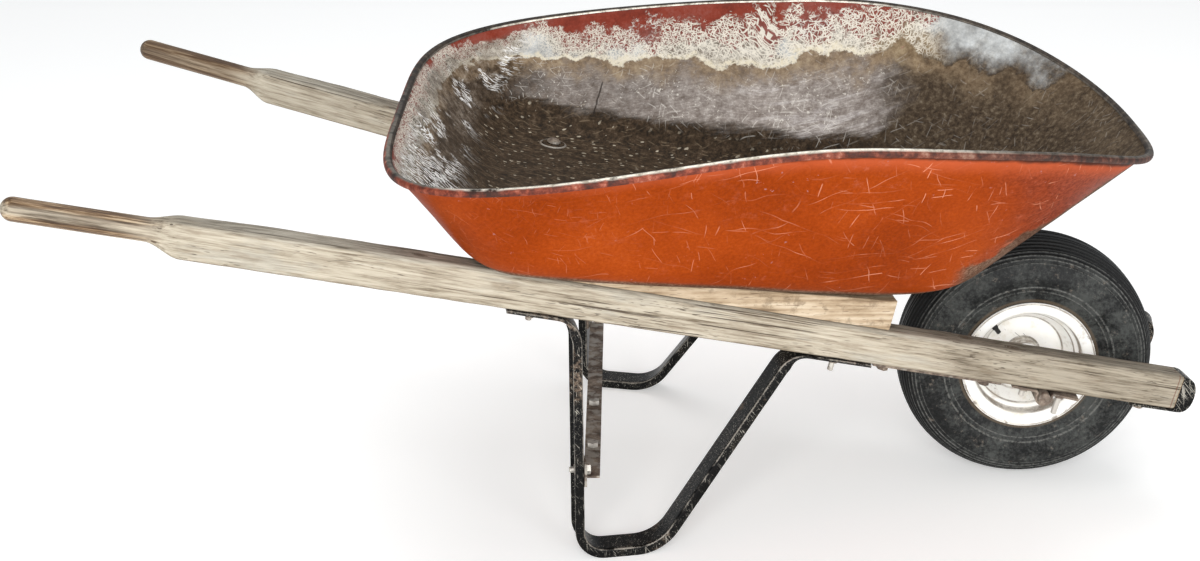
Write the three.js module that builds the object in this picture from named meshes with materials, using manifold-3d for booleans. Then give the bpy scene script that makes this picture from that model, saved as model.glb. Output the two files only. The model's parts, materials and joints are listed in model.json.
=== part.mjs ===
// A contractor's wheelbarrow: pressed steel tray, two wooden handles, bent channel legs and one
// pneumatic wheel. Millimetres, +X towards the wheel, +Y to the left, +Z up, ground at z = 0.
import * as THREE from 'three';
import Module from 'manifold-3d';
import { mergeVertices } from 'three/addons/utils/BufferGeometryUtils.js';

const wasm = await Module();
wasm.setup();

// Clearances
const SEAT = 0.3; // between two pieces that touch
const HOLE_CLEARANCE = 0.4; // around a shank, on the radius
const TURN_CLEARANCE = 0.4; // between the turning wheel and the still axle

// Wheel
const TYRE_RADIUS = 168;
const TYRE_HALF_WIDTH = 52;
const TYRE_WALL = 8;
const TREAD_GROOVE = 2.4;
const RIM_FLANGE_RADIUS = 88;
const BEAD_RADIUS = 74;
const RIM_HALF_WIDTH = 46;
const RIM_SHEET = 2.5;
const TUBE_INNER_RADIUS = 76;
const DISC_RADIUS = 53;
const HUB_RADIUS = 22;
const HUB_HALF_LENGTH = 24;
const BEARING_RADIUS = 17.5;
const BEARING_WIDTH = 11;
const AXLE_RADIUS = 8;
const AXLE_END_PAST_HANDLE = 6;
const SPACER_WALL = 3;
const VALVE_RADIUS = 4;
const VALVE_LENGTH = 26;
const VALVE_ANGLE = 2.35;

// Handles
const HANDLE_LENGTH = 1476;
const HANDLE_WIDTH = 35.5;
const HANDLE_HEIGHT = 46.7;
const HANDLE_EDGE_RADIUS = 4;
const HANDLE_RISE = THREE.MathUtils.degToRad(12.67);
const HANDLE_SPREAD = THREE.MathUtils.degToRad(9.96);
const HANDLE_FRONT_HALF_GAUGE = 99.2;
const AXLE_TO_HANDLE_END = 185.8;
const GRIP_DIAMETER = 29;
const GRIP_LENGTH = 162;
const GRIP_SHOULDER = 42;
const GRIP_LIFT = 2;

// Tray
const SHEET = 2;
const TRAY_SLOPE = THREE.MathUtils.degToRad(8.15);
const TRAY_SEAT_BEHIND_BOLT = 34; // where the floor meets the handle
const TRAY_SEAT_RISE = 1.5;
const TRAY_SEAT_TO_FLOOR_CENTRE = 263;
// Outlines of the floor and the rim: reach to the rear and front, half width, how much the half
// width shrinks towards each end, and how square the corners are. The floor is as wide as its bolts
// are apart, and a little more.
const FLOOR_PAST_BOLTS = 2.4;
const FLOOR = {
  rear: 314, front: 307,
  rearTaper: 0.32, frontTaper: 0.29, rearPower: 7.4, frontPower: 4.2,
};
const RIM = {
  rear: 490, front: 435, half: 341,
  rearTaper: 0.22, frontTaper: 0.08, rearPower: 4.4, frontPower: 2.75,
};
const RIM_FORWARD = 63;
const RIM_HEIGHT = 230;
const RIM_FRONT_LIFT = 91;
const RIM_SAG = 75;
const RIM_NOSE_DROP = 35;
const CORNER_BLEND = 41;
const ROLL_RADIUS = 4.5;

// Riser wedges
const WEDGE_FRONT_STATION = 409;
const WEDGE_WIDTH = 30;
const WEDGE_BEHIND_SEAT = 12;

// Legs
const LEG_WIDTH = 38;
const LEG_SHEET = 3;
const LEG_FLANGE = 12;
const TONGUE_FLANGE = 4;
const LEG_UPRIGHT_TOP = 793; // along the handle, from its front end
const UPRIGHT_LEAN = 14;
const FOOT_LENGTH = 93;
const LEG_STRUT_TOP = 527;
const LEG_FRONT_TONGUE = 420;
const LEG_SPLAY = 0.09;
const LEG_TIGHT_BEND = 26;
const LEG_WIDE_BEND = 52;

// Brace between the legs
const BRACE_HEIGHT = 100;
const BRACE_WIDTH = 20;
const BRACE_SHEET = 3;
const BRACE_EAR = 26;
const BRACE_LAP_FROM = 20;
const BRACE_LAP_TO = 190;
const BRACE_LAP_BOLTS = [41, 167];

// Under the handles
const STRAP_WIDTH = 26;
const STRAP_SHEET = 3;
const BRACKET_WIDTH = 38;
const BRACKET_REAR = 44;
const BRACKET_FRONT = 44;
const BRACKET_STUD = 24;
const SHOE_REACH = 22;
const SHOE_TONGUE = 62;
const SHOE_SHEET = 2.5;
const SHOE_SCREW_STATION = 42;

// Fasteners
const BOLT_RADIUS = 4;
const NUT_ACROSS_FLATS = 13;
const NUT_HEIGHT = 6.5;
const WASHER_RADIUS = 16;
const WASHER_SHEET = 1.6;
const DOME_RADIUS = 10;
const DOME_HEIGHT = 5;
const TRAY_BOLT_BEHIND_UPRIGHT = 62;
const TONGUE_PAST_BOLT = 31;
const LEG_STUD_PAST_TONGUE_END = 44.7;
const STUD_DEPTH = 30; // of studs and screws in the timber
const TRAY_BOLT_TAIL = 5; // past its nut
const LEG_STUD_TAIL = 12;
const BRACKET_STUD_TAIL = { rear: 9, front: 24 };

// Finishes
const PAINT_RED = { color: 0xb2451c, roughness: 0.5, metalness: 0.1 };
const OLD_WOOD = { color: 0x9d8a72, roughness: 0.85, metalness: 0 };
const PALE_WOOD = { color: 0xc2a885, roughness: 0.8, metalness: 0 };
const BLACK_PAINT = { color: 0x1d1c1b, roughness: 0.45, metalness: 0.3 };
const RUSTY_STEEL = { color: 0x5d4638, roughness: 0.8, metalness: 0.4 };
const WORN_STEEL = { color: 0x8b8782, roughness: 0.5, metalness: 0.8 };
const CREAM_PAINT = { color: 0xe9e6dc, roughness: 0.45, metalness: 0.1 };
const RUBBER = { color: 0x2c2d2e, roughness: 0.85, metalness: 0 };

const SIDES = [{ name: 'right', sign: -1 }, { name: 'left', sign: 1 }];

// Solids and meshes
function signedVolume(position, index) {
  const a = new THREE.Vector3();
  const b = new THREE.Vector3();
  const c = new THREE.Vector3();
  let total = 0;
  for (let i = 0; i < index.length; i += 3) {
    a.fromArray(position, index[i] * 3);
    b.fromArray(position, index[i + 1] * 3);
    c.fromArray(position, index[i + 2] * 3);
    total += a.dot(b.cross(c));
  }
  return total;
}

function closedGeometry(points, faces) {
  const position = points.flatMap((p) => [p.x, p.y, p.z]);
  if (signedVolume(position, faces) < 0) faces.reverse();
  const geometry = new THREE.BufferGeometry();
  geometry.setAttribute('position', new THREE.Float32BufferAttribute(position, 3));
  geometry.setIndex(faces);
  return geometry;
}

// Joins rings of equal point counts into one closed body; the end rings are filled flat.
function loft(rings, firstOutline, lastOutline = firstOutline) {
  const count = rings[0].length;
  const faces = [];
  for (let i = 0; i + 1 < rings.length; i += 1) {
    for (let j = 0; j < count; j += 1) {
      const k = (j + 1) % count;
      const a = i * count;
      const b = a + count;
      faces.push(a + j, a + k, b + k, a + j, b + k, b + j);
    }
  }
  const last = (rings.length - 1) * count;
  const clockwise = THREE.ShapeUtils.isClockWise(firstOutline);
  for (const [i, j, k] of THREE.ShapeUtils.triangulateShape(firstOutline, [])) {
    faces.push(...(clockwise ? [i, j, k] : [k, j, i]));
  }
  for (const [i, j, k] of THREE.ShapeUtils.triangulateShape(lastOutline, [])) {
    faces.push(...(clockwise ? [last + k, last + j, last + i] : [last + i, last + j, last + k]));
  }
  return closedGeometry(rings.flat(), faces);
}

function toSolid(geometry) {
  const bare = new THREE.BufferGeometry();
  bare.setAttribute('position', geometry.getAttribute('position').clone());
  bare.setIndex(geometry.index ? geometry.index.clone() : null);
  const merged = mergeVertices(bare, 1e-4);
  const { array } = merged.getAttribute('position');
  const faces = [...merged.index.array];
  if (signedVolume(array, faces) < 0) faces.reverse();
  return new wasm.Manifold(new wasm.Mesh({
    numProp: 3,
    vertProperties: new Float32Array(array),
    triVerts: new Uint32Array(faces),
  }));
}

function toGeometry(solid) {
  const { vertProperties, triVerts } = solid.getMesh();
  const geometry = new THREE.BufferGeometry();
  geometry.setAttribute('position', new THREE.Float32BufferAttribute(vertProperties, 3));
  geometry.setIndex([...triVerts]);
  return geometry;
}

function cut(geometry, ...tools) {
  return toGeometry(tools.reduce((solid, tool) => solid.subtract(toSolid(tool)), toSolid(geometry)));
}

function join(...geometries) {
  return toGeometry(geometries.map(toSolid).reduce((whole, next) => whole.add(next)));
}

// A piece is drawn for the right-hand side; the left-hand one is its mirror image.
function forSide(side, geometry) {
  return side.sign < 0 ? geometry : toGeometry(toSolid(geometry.clone().scale(1, -1, 1)));
}

function piece(name, geometry, finish) {
  const mesh = new THREE.Mesh(geometry, new THREE.MeshStandardMaterial(finish));
  mesh.name = name;
  return mesh;
}

// Turned and drilled shapes
function turned(profile, segments) {
  return new THREE.LatheGeometry(profile.map(([r, y]) => new THREE.Vector2(r, y)), segments);
}

function upright(profile, segments) {
  return turned(profile, segments).rotateX(Math.PI / 2);
}

function drill(radius, from, to, x = 0, y = 0) {
  const tool = new THREE.CylinderGeometry(radius, radius, to - from, 10);
  return tool.rotateX(Math.PI / 2).translate(x, y, (from + to) / 2);
}

function hexNut() {
  const outline = new THREE.Shape();
  const corner = NUT_ACROSS_FLATS / Math.sqrt(3);
  for (let i = 0; i < 6; i += 1) {
    const angle = (i * Math.PI) / 3;
    outline[i ? 'lineTo' : 'moveTo'](corner * Math.cos(angle), corner * Math.sin(angle));
  }
  outline.closePath();
  outline.holes.push(new THREE.Path().absarc(0, 0, SHANK_HOLE, 0, Math.PI * 2, true));
  return new THREE.ExtrudeGeometry(outline, { depth: NUT_HEIGHT, bevelEnabled: false, curveSegments: 8 });
}

// A shank from z = bottom to z = top with chamfered ends.
function stud(bottom, top) {
  const r = BOLT_RADIUS;
  return upright([[0, bottom], [r - 1, bottom], [r, bottom + 1], [r, top - 1], [r - 1, top], [0, top]], 8);
}

// A dome-headed bolt whose head starts at z = seat and whose shank ends at z = bottom.
function domeBolt(bottom, seat) {
  const r = BOLT_RADIUS;
  const profile = [[0, bottom], [r - 1, bottom], [r, bottom + 1], [r, seat]];
  for (let i = 0; i <= 4; i += 1) {
    const angle = (i * Math.PI) / 8;
    profile.push([DOME_RADIUS * Math.cos(angle), seat + 0.8 + DOME_HEIGHT * Math.sin(angle)]);
  }
  profile.splice(4, 0, [DOME_RADIUS, seat]);
  profile[profile.length - 1][0] = 0;
  return upright(profile, 12);
}

// A hex-headed screw pointing up, its head hanging below z = seat.
function hexScrew(seat, length) {
  const head = new THREE.CylinderGeometry(
    NUT_ACROSS_FLATS / Math.sqrt(3), NUT_ACROSS_FLATS / Math.sqrt(3), NUT_HEIGHT, 6);
  head.rotateX(Math.PI / 2).translate(0, 0, seat - NUT_HEIGHT / 2);
  return join(head, stud(seat - NUT_HEIGHT / 2, seat + length));
}

// Bent strips
// Points along a polyline whose corners are rounded, each with its direction.
function roundedPath(corners, radii, steps = 4) {
  const path = [];
  corners.forEach(([x, z], i) => {
    const here = new THREE.Vector2(x, z);
    const previous = corners[i - 1] && new THREE.Vector2(...corners[i - 1]);
    const next = corners[i + 1] && new THREE.Vector2(...corners[i + 1]);
    if (!previous || !next) {
      const along = previous ? here.clone().sub(previous) : next.clone().sub(here);
      path.push({ at: here, along: along.normalize() });
      return;
    }
    const into = here.clone().sub(previous).normalize();
    const out = next.clone().sub(here).normalize();
    const turn = Math.atan2(into.cross(out), into.dot(out));
    const reach = radii[i] * Math.tan(Math.abs(turn) / 2);
    const centre = here.clone().addScaledVector(into, -reach);
    const left = new THREE.Vector2(-into.y, into.x).multiplyScalar(radii[i] * Math.sign(turn));
    centre.add(left);
    for (let k = 0; k <= steps; k += 1) {
      const angle = (turn * k) / steps;
      const origin = new THREE.Vector2();
      const at = left.clone().negate().rotateAround(origin, angle).add(centre);
      if (at.distanceTo(path[path.length - 1].at) < 0.01) path.pop();
      path.push({ at, along: into.clone().rotateAround(origin, angle) });
    }
  });
  return path;
}

// Sweeps a section (across, outward) along a path in the x z plane; outward is to the right of travel.
function sweep(path, sectionAt, shiftAt = () => 0) {
  const rings = path.map((station, i) => {
    const right = new THREE.Vector2(station.along.y, -station.along.x);
    return sectionAt(i).map(([across, outward]) => new THREE.Vector3(
      station.at.x + right.x * outward,
      across + shiftAt(station.at),
      station.at.y + right.y * outward,
    ));
  });
  const outline = sectionAt(0).map(([across, outward]) => new THREE.Vector2(across, outward));
  return loft(rings, outline);
}

function stripSection(width, thickness) {
  return [[-width / 2, 0], [width / 2, 0], [width / 2, thickness], [-width / 2, thickness]];
}

function channelSection(flange) {
  const w = LEG_WIDTH / 2;
  const t = LEG_SHEET;
  return [
    [-w, 0], [w, 0], [w, flange], [w - t, flange],
    [w - t, t], [t - w, t], [t - w, flange], [-w, flange],
  ];
}

// Places shared by the two sides
const TRAY_BOLT_STATION = LEG_UPRIGHT_TOP + TRAY_BOLT_BEHIND_UPRIGHT;
const TRAY_SEAT_STATION = TRAY_BOLT_STATION + TRAY_SEAT_BEHIND_BOLT;
const LEG_STUD_STATION = LEG_FRONT_TONGUE + LEG_STUD_PAST_TONGUE_END;
const SHANK_HOLE = BOLT_RADIUS + HOLE_CLEARANCE;
// X is measured from the axle here. A handle's own frame: x runs back along it from its front end,
// z is its upper face's normal.
const TOP = HANDLE_HEIGHT / 2;
const UNDER = -HANDLE_HEIGHT / 2;
const AXLE_HEIGHT = TYRE_RADIUS;
const BACK_PER_STATION = Math.cos(HANDLE_RISE) * Math.cos(HANDLE_SPREAD);
const OUT_PER_STATION = Math.cos(HANDLE_RISE) * Math.sin(HANDLE_SPREAD);
const HANDLE_FRONT_X = AXLE_TO_HANDLE_END * BACK_PER_STATION;
const AXLE_OUT = HANDLE_FRONT_HALF_GAUGE + AXLE_TO_HANDLE_END * OUT_PER_STATION;
const AXLE_SLANT = (BRACKET_WIDTH / 2) * Math.sin(HANDLE_RISE) * Math.sin(HANDLE_SPREAD);
const AXLE_CENTRE_DROP = AXLE_RADIUS + AXLE_SLANT + SEAT;
const HANDLE_FRONT_Z = AXLE_HEIGHT + (AXLE_CENTRE_DROP - UNDER) / Math.cos(HANDLE_RISE)
  - AXLE_TO_HANDLE_END * Math.sin(HANDLE_RISE);

function handleGroup(side) {
  const group = new THREE.Group();
  group.position.set(HANDLE_FRONT_X, side.sign * HANDLE_FRONT_HALF_GAUGE, HANDLE_FRONT_Z);
  group.rotation.set(0, -HANDLE_RISE, Math.PI - side.sign * HANDLE_SPREAD, 'ZYX');
  group.updateMatrix();
  return group;
}

function handlePoint(station, height) {
  return new THREE.Vector3(
    HANDLE_FRONT_X - station * BACK_PER_STATION + height * Math.sin(HANDLE_RISE) * Math.cos(HANDLE_SPREAD),
    HANDLE_FRONT_HALF_GAUGE + station * OUT_PER_STATION
      - height * Math.sin(HANDLE_RISE) * Math.sin(HANDLE_SPREAD),
    HANDLE_FRONT_Z + station * Math.sin(HANDLE_RISE) + height * Math.cos(HANDLE_RISE),
  );
}

// The tray's own frame: its outer floor is z = 0 and x runs forward, down the slope.
const trayGroup = new THREE.Group();
const traySeat = handlePoint(TRAY_SEAT_STATION, TOP + TRAY_SEAT_RISE);
trayGroup.rotation.set(0, TRAY_SLOPE, 0);
trayGroup.position.set(
  traySeat.x + TRAY_SEAT_TO_FLOOR_CENTRE * Math.cos(TRAY_SLOPE),
  0,
  traySeat.z - TRAY_SEAT_TO_FLOOR_CENTRE * Math.sin(TRAY_SLOPE),
);
trayGroup.updateMatrix();

function between(fromGroup, toGroup) {
  return toGroup.matrix.clone().invert().multiply(fromGroup.matrix);
}

// Tray: one pressed sheet, lofted from the floor outline to the rim outline, with a rolled edge
const TRAY_POINTS = 56;

function trayOutline(form, angle) {
  const c = Math.cos(angle);
  const s = Math.sin(angle);
  const power = c < 0 ? form.rearPower : form.frontPower;
  const reach = c < 0 ? form.rear : form.front;
  const t = Math.sign(c) * Math.abs(c) ** (2 / power);
  const half = form.half * (1 - (t < 0 ? form.rearTaper : form.frontTaper) * t);
  return { x: reach * t, y: half * Math.sign(s) * Math.abs(s) ** (2 / power), t };
}

const floorForm = { ...FLOOR, half: handlePoint(TRAY_BOLT_STATION, TOP).y + FLOOR_PAST_BOLTS };

function trayProfile(angle) {
  const low = trayOutline(floorForm, angle);
  const high = trayOutline(RIM, angle);
  const rise = RIM_HEIGHT + RIM_FRONT_LIFT * high.t - RIM_SAG * high.t ** 2 - RIM_NOSE_DROP * high.t ** 3;
  const floorEdge = new THREE.Vector3(low.x, low.y, 0);
  const rimEdge = new THREE.Vector3(RIM_FORWARD + high.x, high.y, rise);
  const wall = rimEdge.clone().sub(floorEdge).normalize();
  const outward = new THREE.Vector3(wall.x, wall.y, 0).normalize();
  const points = [];
  for (let i = 0; i <= 4; i += 1) {
    const t = i / 4;
    const curve = floorEdge.clone();
    curve.addScaledVector(outward, -CORNER_BLEND * (1 - t) ** 2);
    curve.addScaledVector(wall, CORNER_BLEND * t ** 2);
    points.push(curve);
  }
  points.push(floorEdge.clone().lerp(rimEdge, 0.55), rimEdge.clone());
  for (let i = 1; i <= 5; i += 1) {
    const turn = (i * Math.PI) / 4;
    const roll = rimEdge.clone().addScaledVector(outward, ROLL_RADIUS * (1 - Math.cos(turn)));
    roll.z += ROLL_RADIUS * Math.sin(turn);
    points.push(roll);
  }
  return points;
}

function trayShell() {
  const columns = [];
  for (let j = 0; j < TRAY_POINTS; j += 1) {
    columns.push(trayProfile(((j + 0.5) * Math.PI * 2) / TRAY_POINTS));
  }
  const levels = columns[0].length;
  const inner = [];
  const outer = [];
  for (let i = 0; i < levels; i += 1) {
    inner.push([]);
    outer.push([]);
    for (let j = 0; j < TRAY_POINTS; j += 1) {
      const round = columns[(j + 1) % TRAY_POINTS][i].clone().sub(columns[(j || TRAY_POINTS) - 1][i]);
      const below = columns[j][Math.max(i - 1, 0)];
      const above = columns[j][Math.min(i + 1, levels - 1)];
      const normal = i === 0
        ? new THREE.Vector3(0, 0, -1)
        : round.cross(above.clone().sub(below)).normalize();
      outer[i].push(columns[j][i].clone().addScaledVector(normal, SHEET / 2));
      inner[i].push(columns[j][i].clone().addScaledVector(normal, -SHEET / 2));
    }
  }
  const rings = [...outer, ...inner.reverse()];
  const flat = (ring) => ring.map((p) => new THREE.Vector2(p.x, p.y));
  const shell = loft(rings, flat(rings[0]), flat(rings[rings.length - 1]));
  return shell.translate(0, 0, SHEET / 2);
}

// Handles: squared timber that turns into a round grip
function roundedRectangle(width, height, radius, lift) {
  const points = [];
  for (let corner = 0; corner < 4; corner += 1) {
    const sx = corner === 0 || corner === 3 ? 1 : -1;
    const sy = corner < 2 ? 1 : -1;
    for (let i = 0; i <= 3; i += 1) {
      const angle = ((corner + i / 3) * Math.PI) / 2;
      points.push([
        sx * (width / 2 - radius) + radius * Math.cos(angle),
        sy * (height / 2 - radius) + radius * Math.sin(angle) + lift,
      ]);
    }
  }
  return points;
}

function handleTimber() {
  const stations = [{ at: 0, blend: 0, trim: 1.5 }, { at: 1.5, blend: 0, trim: 0 }];
  const gripStart = HANDLE_LENGTH - GRIP_LENGTH;
  for (let i = 0; i <= 6; i += 1) {
    const blend = THREE.MathUtils.smoothstep(i / 6, 0, 1);
    stations.push({ at: gripStart - GRIP_SHOULDER * (1 - i / 6), blend, trim: 0 });
  }
  const radius = GRIP_DIAMETER / 2;
  for (let i = 0; i <= 4; i += 1) {
    const angle = (i / 4) * 1.4;
    const at = HANDLE_LENGTH - radius + radius * Math.sin(angle);
    stations.push({ at, blend: 1, trim: radius * (1 - Math.cos(angle)) });
  }
  const mix = THREE.MathUtils.lerp;
  const rings = stations.map(({ at, blend, trim }) => roundedRectangle(
    mix(HANDLE_WIDTH, GRIP_DIAMETER, blend) - 2 * trim,
    mix(HANDLE_HEIGHT, GRIP_DIAMETER, blend) - 2 * trim,
    mix(HANDLE_EDGE_RADIUS, radius - 0.01, blend) - trim * (blend ? 1 : 0.5),
    GRIP_LIFT * blend,
  ).map(([y, z]) => new THREE.Vector3(at, y, z)));
  const endOn = (ring) => ring.map((p) => new THREE.Vector2(p.y, p.z));
  return loft(rings, endOn(rings[0]), endOn(rings[rings.length - 1]));
}

// Riser wedge: fills the space between a handle and the flatter floor of the tray
function riserWedge(group) {
  const length = TRAY_SEAT_STATION - WEDGE_BEHIND_SEAT - WEDGE_FRONT_STATION;
  const blank = new THREE.BoxGeometry(length, WEDGE_WIDTH, length);
  blank.translate(WEDGE_FRONT_STATION + length / 2, 0, TOP + SEAT + length / 2);
  const above = new THREE.BoxGeometry(HANDLE_LENGTH, HANDLE_LENGTH, HANDLE_LENGTH);
  above.translate(0, 0, HANDLE_LENGTH / 2 - SEAT).applyMatrix4(between(trayGroup, group));
  return cut(blank, above);
}

// Legs: channel bent into a V, flanges outward, flattened into tongues under the handle
// A point in the upright plane through a handle, by its run back from the handle's front end.
function uprightPlanePoint(run, height) {
  const rise = height - HANDLE_FRONT_Z;
  return [
    run * Math.cos(HANDLE_RISE) + rise * Math.sin(HANDLE_RISE),
    rise * Math.cos(HANDLE_RISE) - run * Math.sin(HANDLE_RISE),
  ];
}

const TONGUE_FACE = UNDER - SEAT;
const FOOT_REAR_CORNER = uprightPlanePoint(LEG_UPRIGHT_TOP - UPRIGHT_LEAN, LEG_FLANGE);
const FOOT_FRONT_CORNER = uprightPlanePoint(LEG_UPRIGHT_TOP - UPRIGHT_LEAN - FOOT_LENGTH, LEG_FLANGE);
const UPRIGHT_TOP_CORNER = [LEG_UPRIGHT_TOP, TONGUE_FACE];
const LEG_CORNERS = [
  [LEG_FRONT_TONGUE, TONGUE_FACE],
  [LEG_STRUT_TOP, TONGUE_FACE],
  FOOT_FRONT_CORNER,
  FOOT_REAR_CORNER,
  UPRIGHT_TOP_CORNER,
  [TRAY_BOLT_STATION + TONGUE_PAST_BOLT, TONGUE_FACE],
];

function splayAt(height) {
  return LEG_SPLAY * Math.max(0, TONGUE_FACE - LEG_TIGHT_BEND / 2 - height);
}

// Where a brace ear lies on the front of an upright, in the handle's frame: x leaves the web
// forwards, y runs across it and z up it.
const uprightFoot = new THREE.Vector2(...FOOT_REAR_CORNER);
const uprightHead = new THREE.Vector2(...UPRIGHT_TOP_CORNER);
const earCentre = uprightFoot.clone().lerp(
  uprightHead,
  (BRACE_HEIGHT + BRACE_EAR / 2 - LEG_FLANGE) / uprightFoot.distanceTo(uprightHead),
);
const uprightLean = Math.atan2(uprightHead.x - uprightFoot.x, uprightHead.y - uprightFoot.y);
const earPlace = new THREE.Matrix4()
  .makeTranslation(earCentre.x, splayAt(earCentre.y), earCentre.y)
  .multiply(new THREE.Matrix4().makeRotationY(uprightLean))
  .multiply(new THREE.Matrix4().makeRotationZ(Math.PI));
const earBoltPlace = earPlace.clone().multiply(new THREE.Matrix4().makeRotationY(Math.PI / 2));

function legChannel() {
  const outerBend = LEG_TIGHT_BEND + LEG_FLANGE;
  const path = roundedPath(LEG_CORNERS, [0, outerBend, LEG_WIDE_BEND, LEG_TIGHT_BEND, outerBend, 0]);
  const flangeAt = (i) => (path[i].at.y > TONGUE_FACE - 1 ? TONGUE_FLANGE : LEG_FLANGE);
  const channel = sweep(path, (i) => channelSection(flangeAt(i)), (at) => splayAt(at.y));
  return cut(
    channel,
    drill(SHANK_HOLE, UNDER - 20, UNDER, TRAY_BOLT_STATION),
    drill(SHANK_HOLE, UNDER - 20, UNDER, LEG_STUD_STATION),
    drill(SHANK_HOLE, -20, 20).applyMatrix4(earBoltPlace),
  );
}

// Brace: two flat straps that lap in the middle, each with an ear bolted to its leg
const flipSides = new THREE.Matrix4().makeScale(1, -1, 1);

function earMatrix(side) {
  const place = handleGroup(side).matrix.clone();
  if (side.sign > 0) place.multiply(flipSides);
  return place.multiply(earPlace);
}

function braceWeb(side) {
  return new THREE.Vector3(SEAT + BRACE_SHEET * 0.6, 0, 0).applyMatrix4(earMatrix(side));
}

const BRACE_X = braceWeb(SIDES[0]).x + BRACE_WIDTH / 2;

function braceLevel(side) {
  return BRACE_HEIGHT - (side.sign > 0 ? BRACE_SHEET + SEAT : 0);
}

function braceStrap(side) {
  const place = earMatrix(side);
  const outerEnd = braceWeb(side).y;
  const innerEnd = side.sign > 0 ? -BRACE_LAP_TO : -BRACE_LAP_FROM;
  const level = braceLevel(side);
  const ear = new THREE.BoxGeometry(BRACE_SHEET, LEG_WIDTH, BRACE_EAR + 2 * (BRACE_SHEET + SEAT));
  ear.translate(SEAT + BRACE_SHEET / 2, 0, 0).applyMatrix4(place);
  const strap = new THREE.BoxGeometry(BRACE_WIDTH, Math.abs(outerEnd - innerEnd), BRACE_SHEET);
  strap.translate(BRACE_X, (outerEnd + innerEnd) / 2, level + BRACE_SHEET / 2);
  const behind = new THREE.BoxGeometry(LEG_WIDTH, 3 * LEG_WIDTH, 3 * LEG_WIDTH);
  behind.translate(SEAT - LEG_WIDTH / 2, 0, 0).applyMatrix4(place);
  const earHole = drill(SHANK_HOLE, -20, 20).rotateY(Math.PI / 2).applyMatrix4(place);
  const lapHoles = BRACE_LAP_BOLTS.map((y) => drill(SHANK_HOLE, level - 5, level + 10, BRACE_X, -y));
  return cut(join(strap, ear), behind, earHole, ...lapHoles);
}

// Axle brackets: a strip bent round the axle, with a flange before and behind it
function bracketGroup(side) {
  const group = new THREE.Group();
  group.position.set(0, side.sign * AXLE_OUT, AXLE_HEIGHT);
  group.rotation.y = Math.atan(Math.tan(HANDLE_RISE) * Math.cos(HANDLE_SPREAD));
  group.updateMatrix();
  return group;
}

const BRACKET_FACE = AXLE_RADIUS;
const BRACKET_STUDS = [{ name: 'rear', x: -BRACKET_STUD }, { name: 'front', x: BRACKET_STUD }];

function axleBracket() {
  const reach = AXLE_RADIUS + SEAT;
  const corners = [
    [-BRACKET_REAR, BRACKET_FACE],
    [-reach, BRACKET_FACE],
    [-reach, -reach],
    [reach, -reach],
    [reach, BRACKET_FACE],
    [BRACKET_FRONT, BRACKET_FACE],
  ];
  const bend = STRAP_SHEET + 1;
  const path = roundedPath(corners, [0, bend, reach, reach, bend, 0]);
  const bar = sweep(path, () => stripSection(BRACKET_WIDTH, STRAP_SHEET));
  return cut(bar, ...BRACKET_STUDS.map(({ x }) => drill(SHANK_HOLE, 0, 20, x)));
}

// Underside straps: flat bars between the legs' front tongues and the axle brackets
const STRAP_FROM = AXLE_TO_HANDLE_END + BRACKET_REAR + 12;
const STRAP_TO = LEG_FRONT_TONGUE - 4;
const STRAP_SCREWS = [{ name: 'front', at: STRAP_FROM + 18 }, { name: 'rear', at: STRAP_TO - 18 }];

function undersideStrap() {
  const bar = new THREE.BoxGeometry(STRAP_TO - STRAP_FROM, STRAP_WIDTH, STRAP_SHEET);
  bar.translate((STRAP_FROM + STRAP_TO) / 2, 0, TONGUE_FACE - STRAP_SHEET / 2);
  return cut(bar, ...STRAP_SCREWS.map(({ at }) => drill(SHANK_HOLE, UNDER - 20, UNDER, at)));
}

// Nose shoes: pressed caps with a rounded front that close the handles' ends
function noseProfile(grow) {
  const shape = new THREE.Shape();
  const high = TOP - 1 - grow;
  const low = TONGUE_FACE - SHOE_SHEET + grow;
  const nose = SHOE_REACH - grow;
  shape.moveTo(0, high);
  shape.bezierCurveTo(-nose * 0.5, high, -nose, high * 0.8, -nose, -4);
  shape.bezierCurveTo(-nose, low * 0.7, -nose * 0.7, low, -nose * 0.2, low);
  shape.lineTo(0, low);
  shape.closePath();
  return shape;
}

function noseBlock(grow, width) {
  const block = new THREE.ExtrudeGeometry(noseProfile(grow), {
    depth: width, bevelEnabled: false, curveSegments: 7,
  });
  return block.rotateX(Math.PI / 2).translate(-SEAT, width / 2, 0);
}

function noseShoe() {
  const hollow = noseBlock(SHOE_SHEET, HANDLE_WIDTH - 2 * SHOE_SHEET).translate(0.5, 0, 0);
  const open = new THREE.BoxGeometry(2, HANDLE_WIDTH - 2 * SHOE_SHEET, HANDLE_HEIGHT - 8);
  open.translate(-SEAT, 0, -1);
  const tongue = new THREE.BoxGeometry(SHOE_TONGUE + 4, HANDLE_WIDTH, SHOE_SHEET);
  tongue.translate(SHOE_TONGUE / 2 - 2, 0, TONGUE_FACE - SHOE_SHEET / 2);
  const screwHole = drill(SHANK_HOLE, UNDER - 20, UNDER, SHOE_SCREW_STATION);
  return cut(join(cut(noseBlock(0, HANDLE_WIDTH), hollow, open), tongue), screwHole);
}

// Wheel: turned about the axle, which runs along Y
const WHEEL_SEGMENTS = 40;
const TUBE_SEGMENTS = 28;

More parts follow.
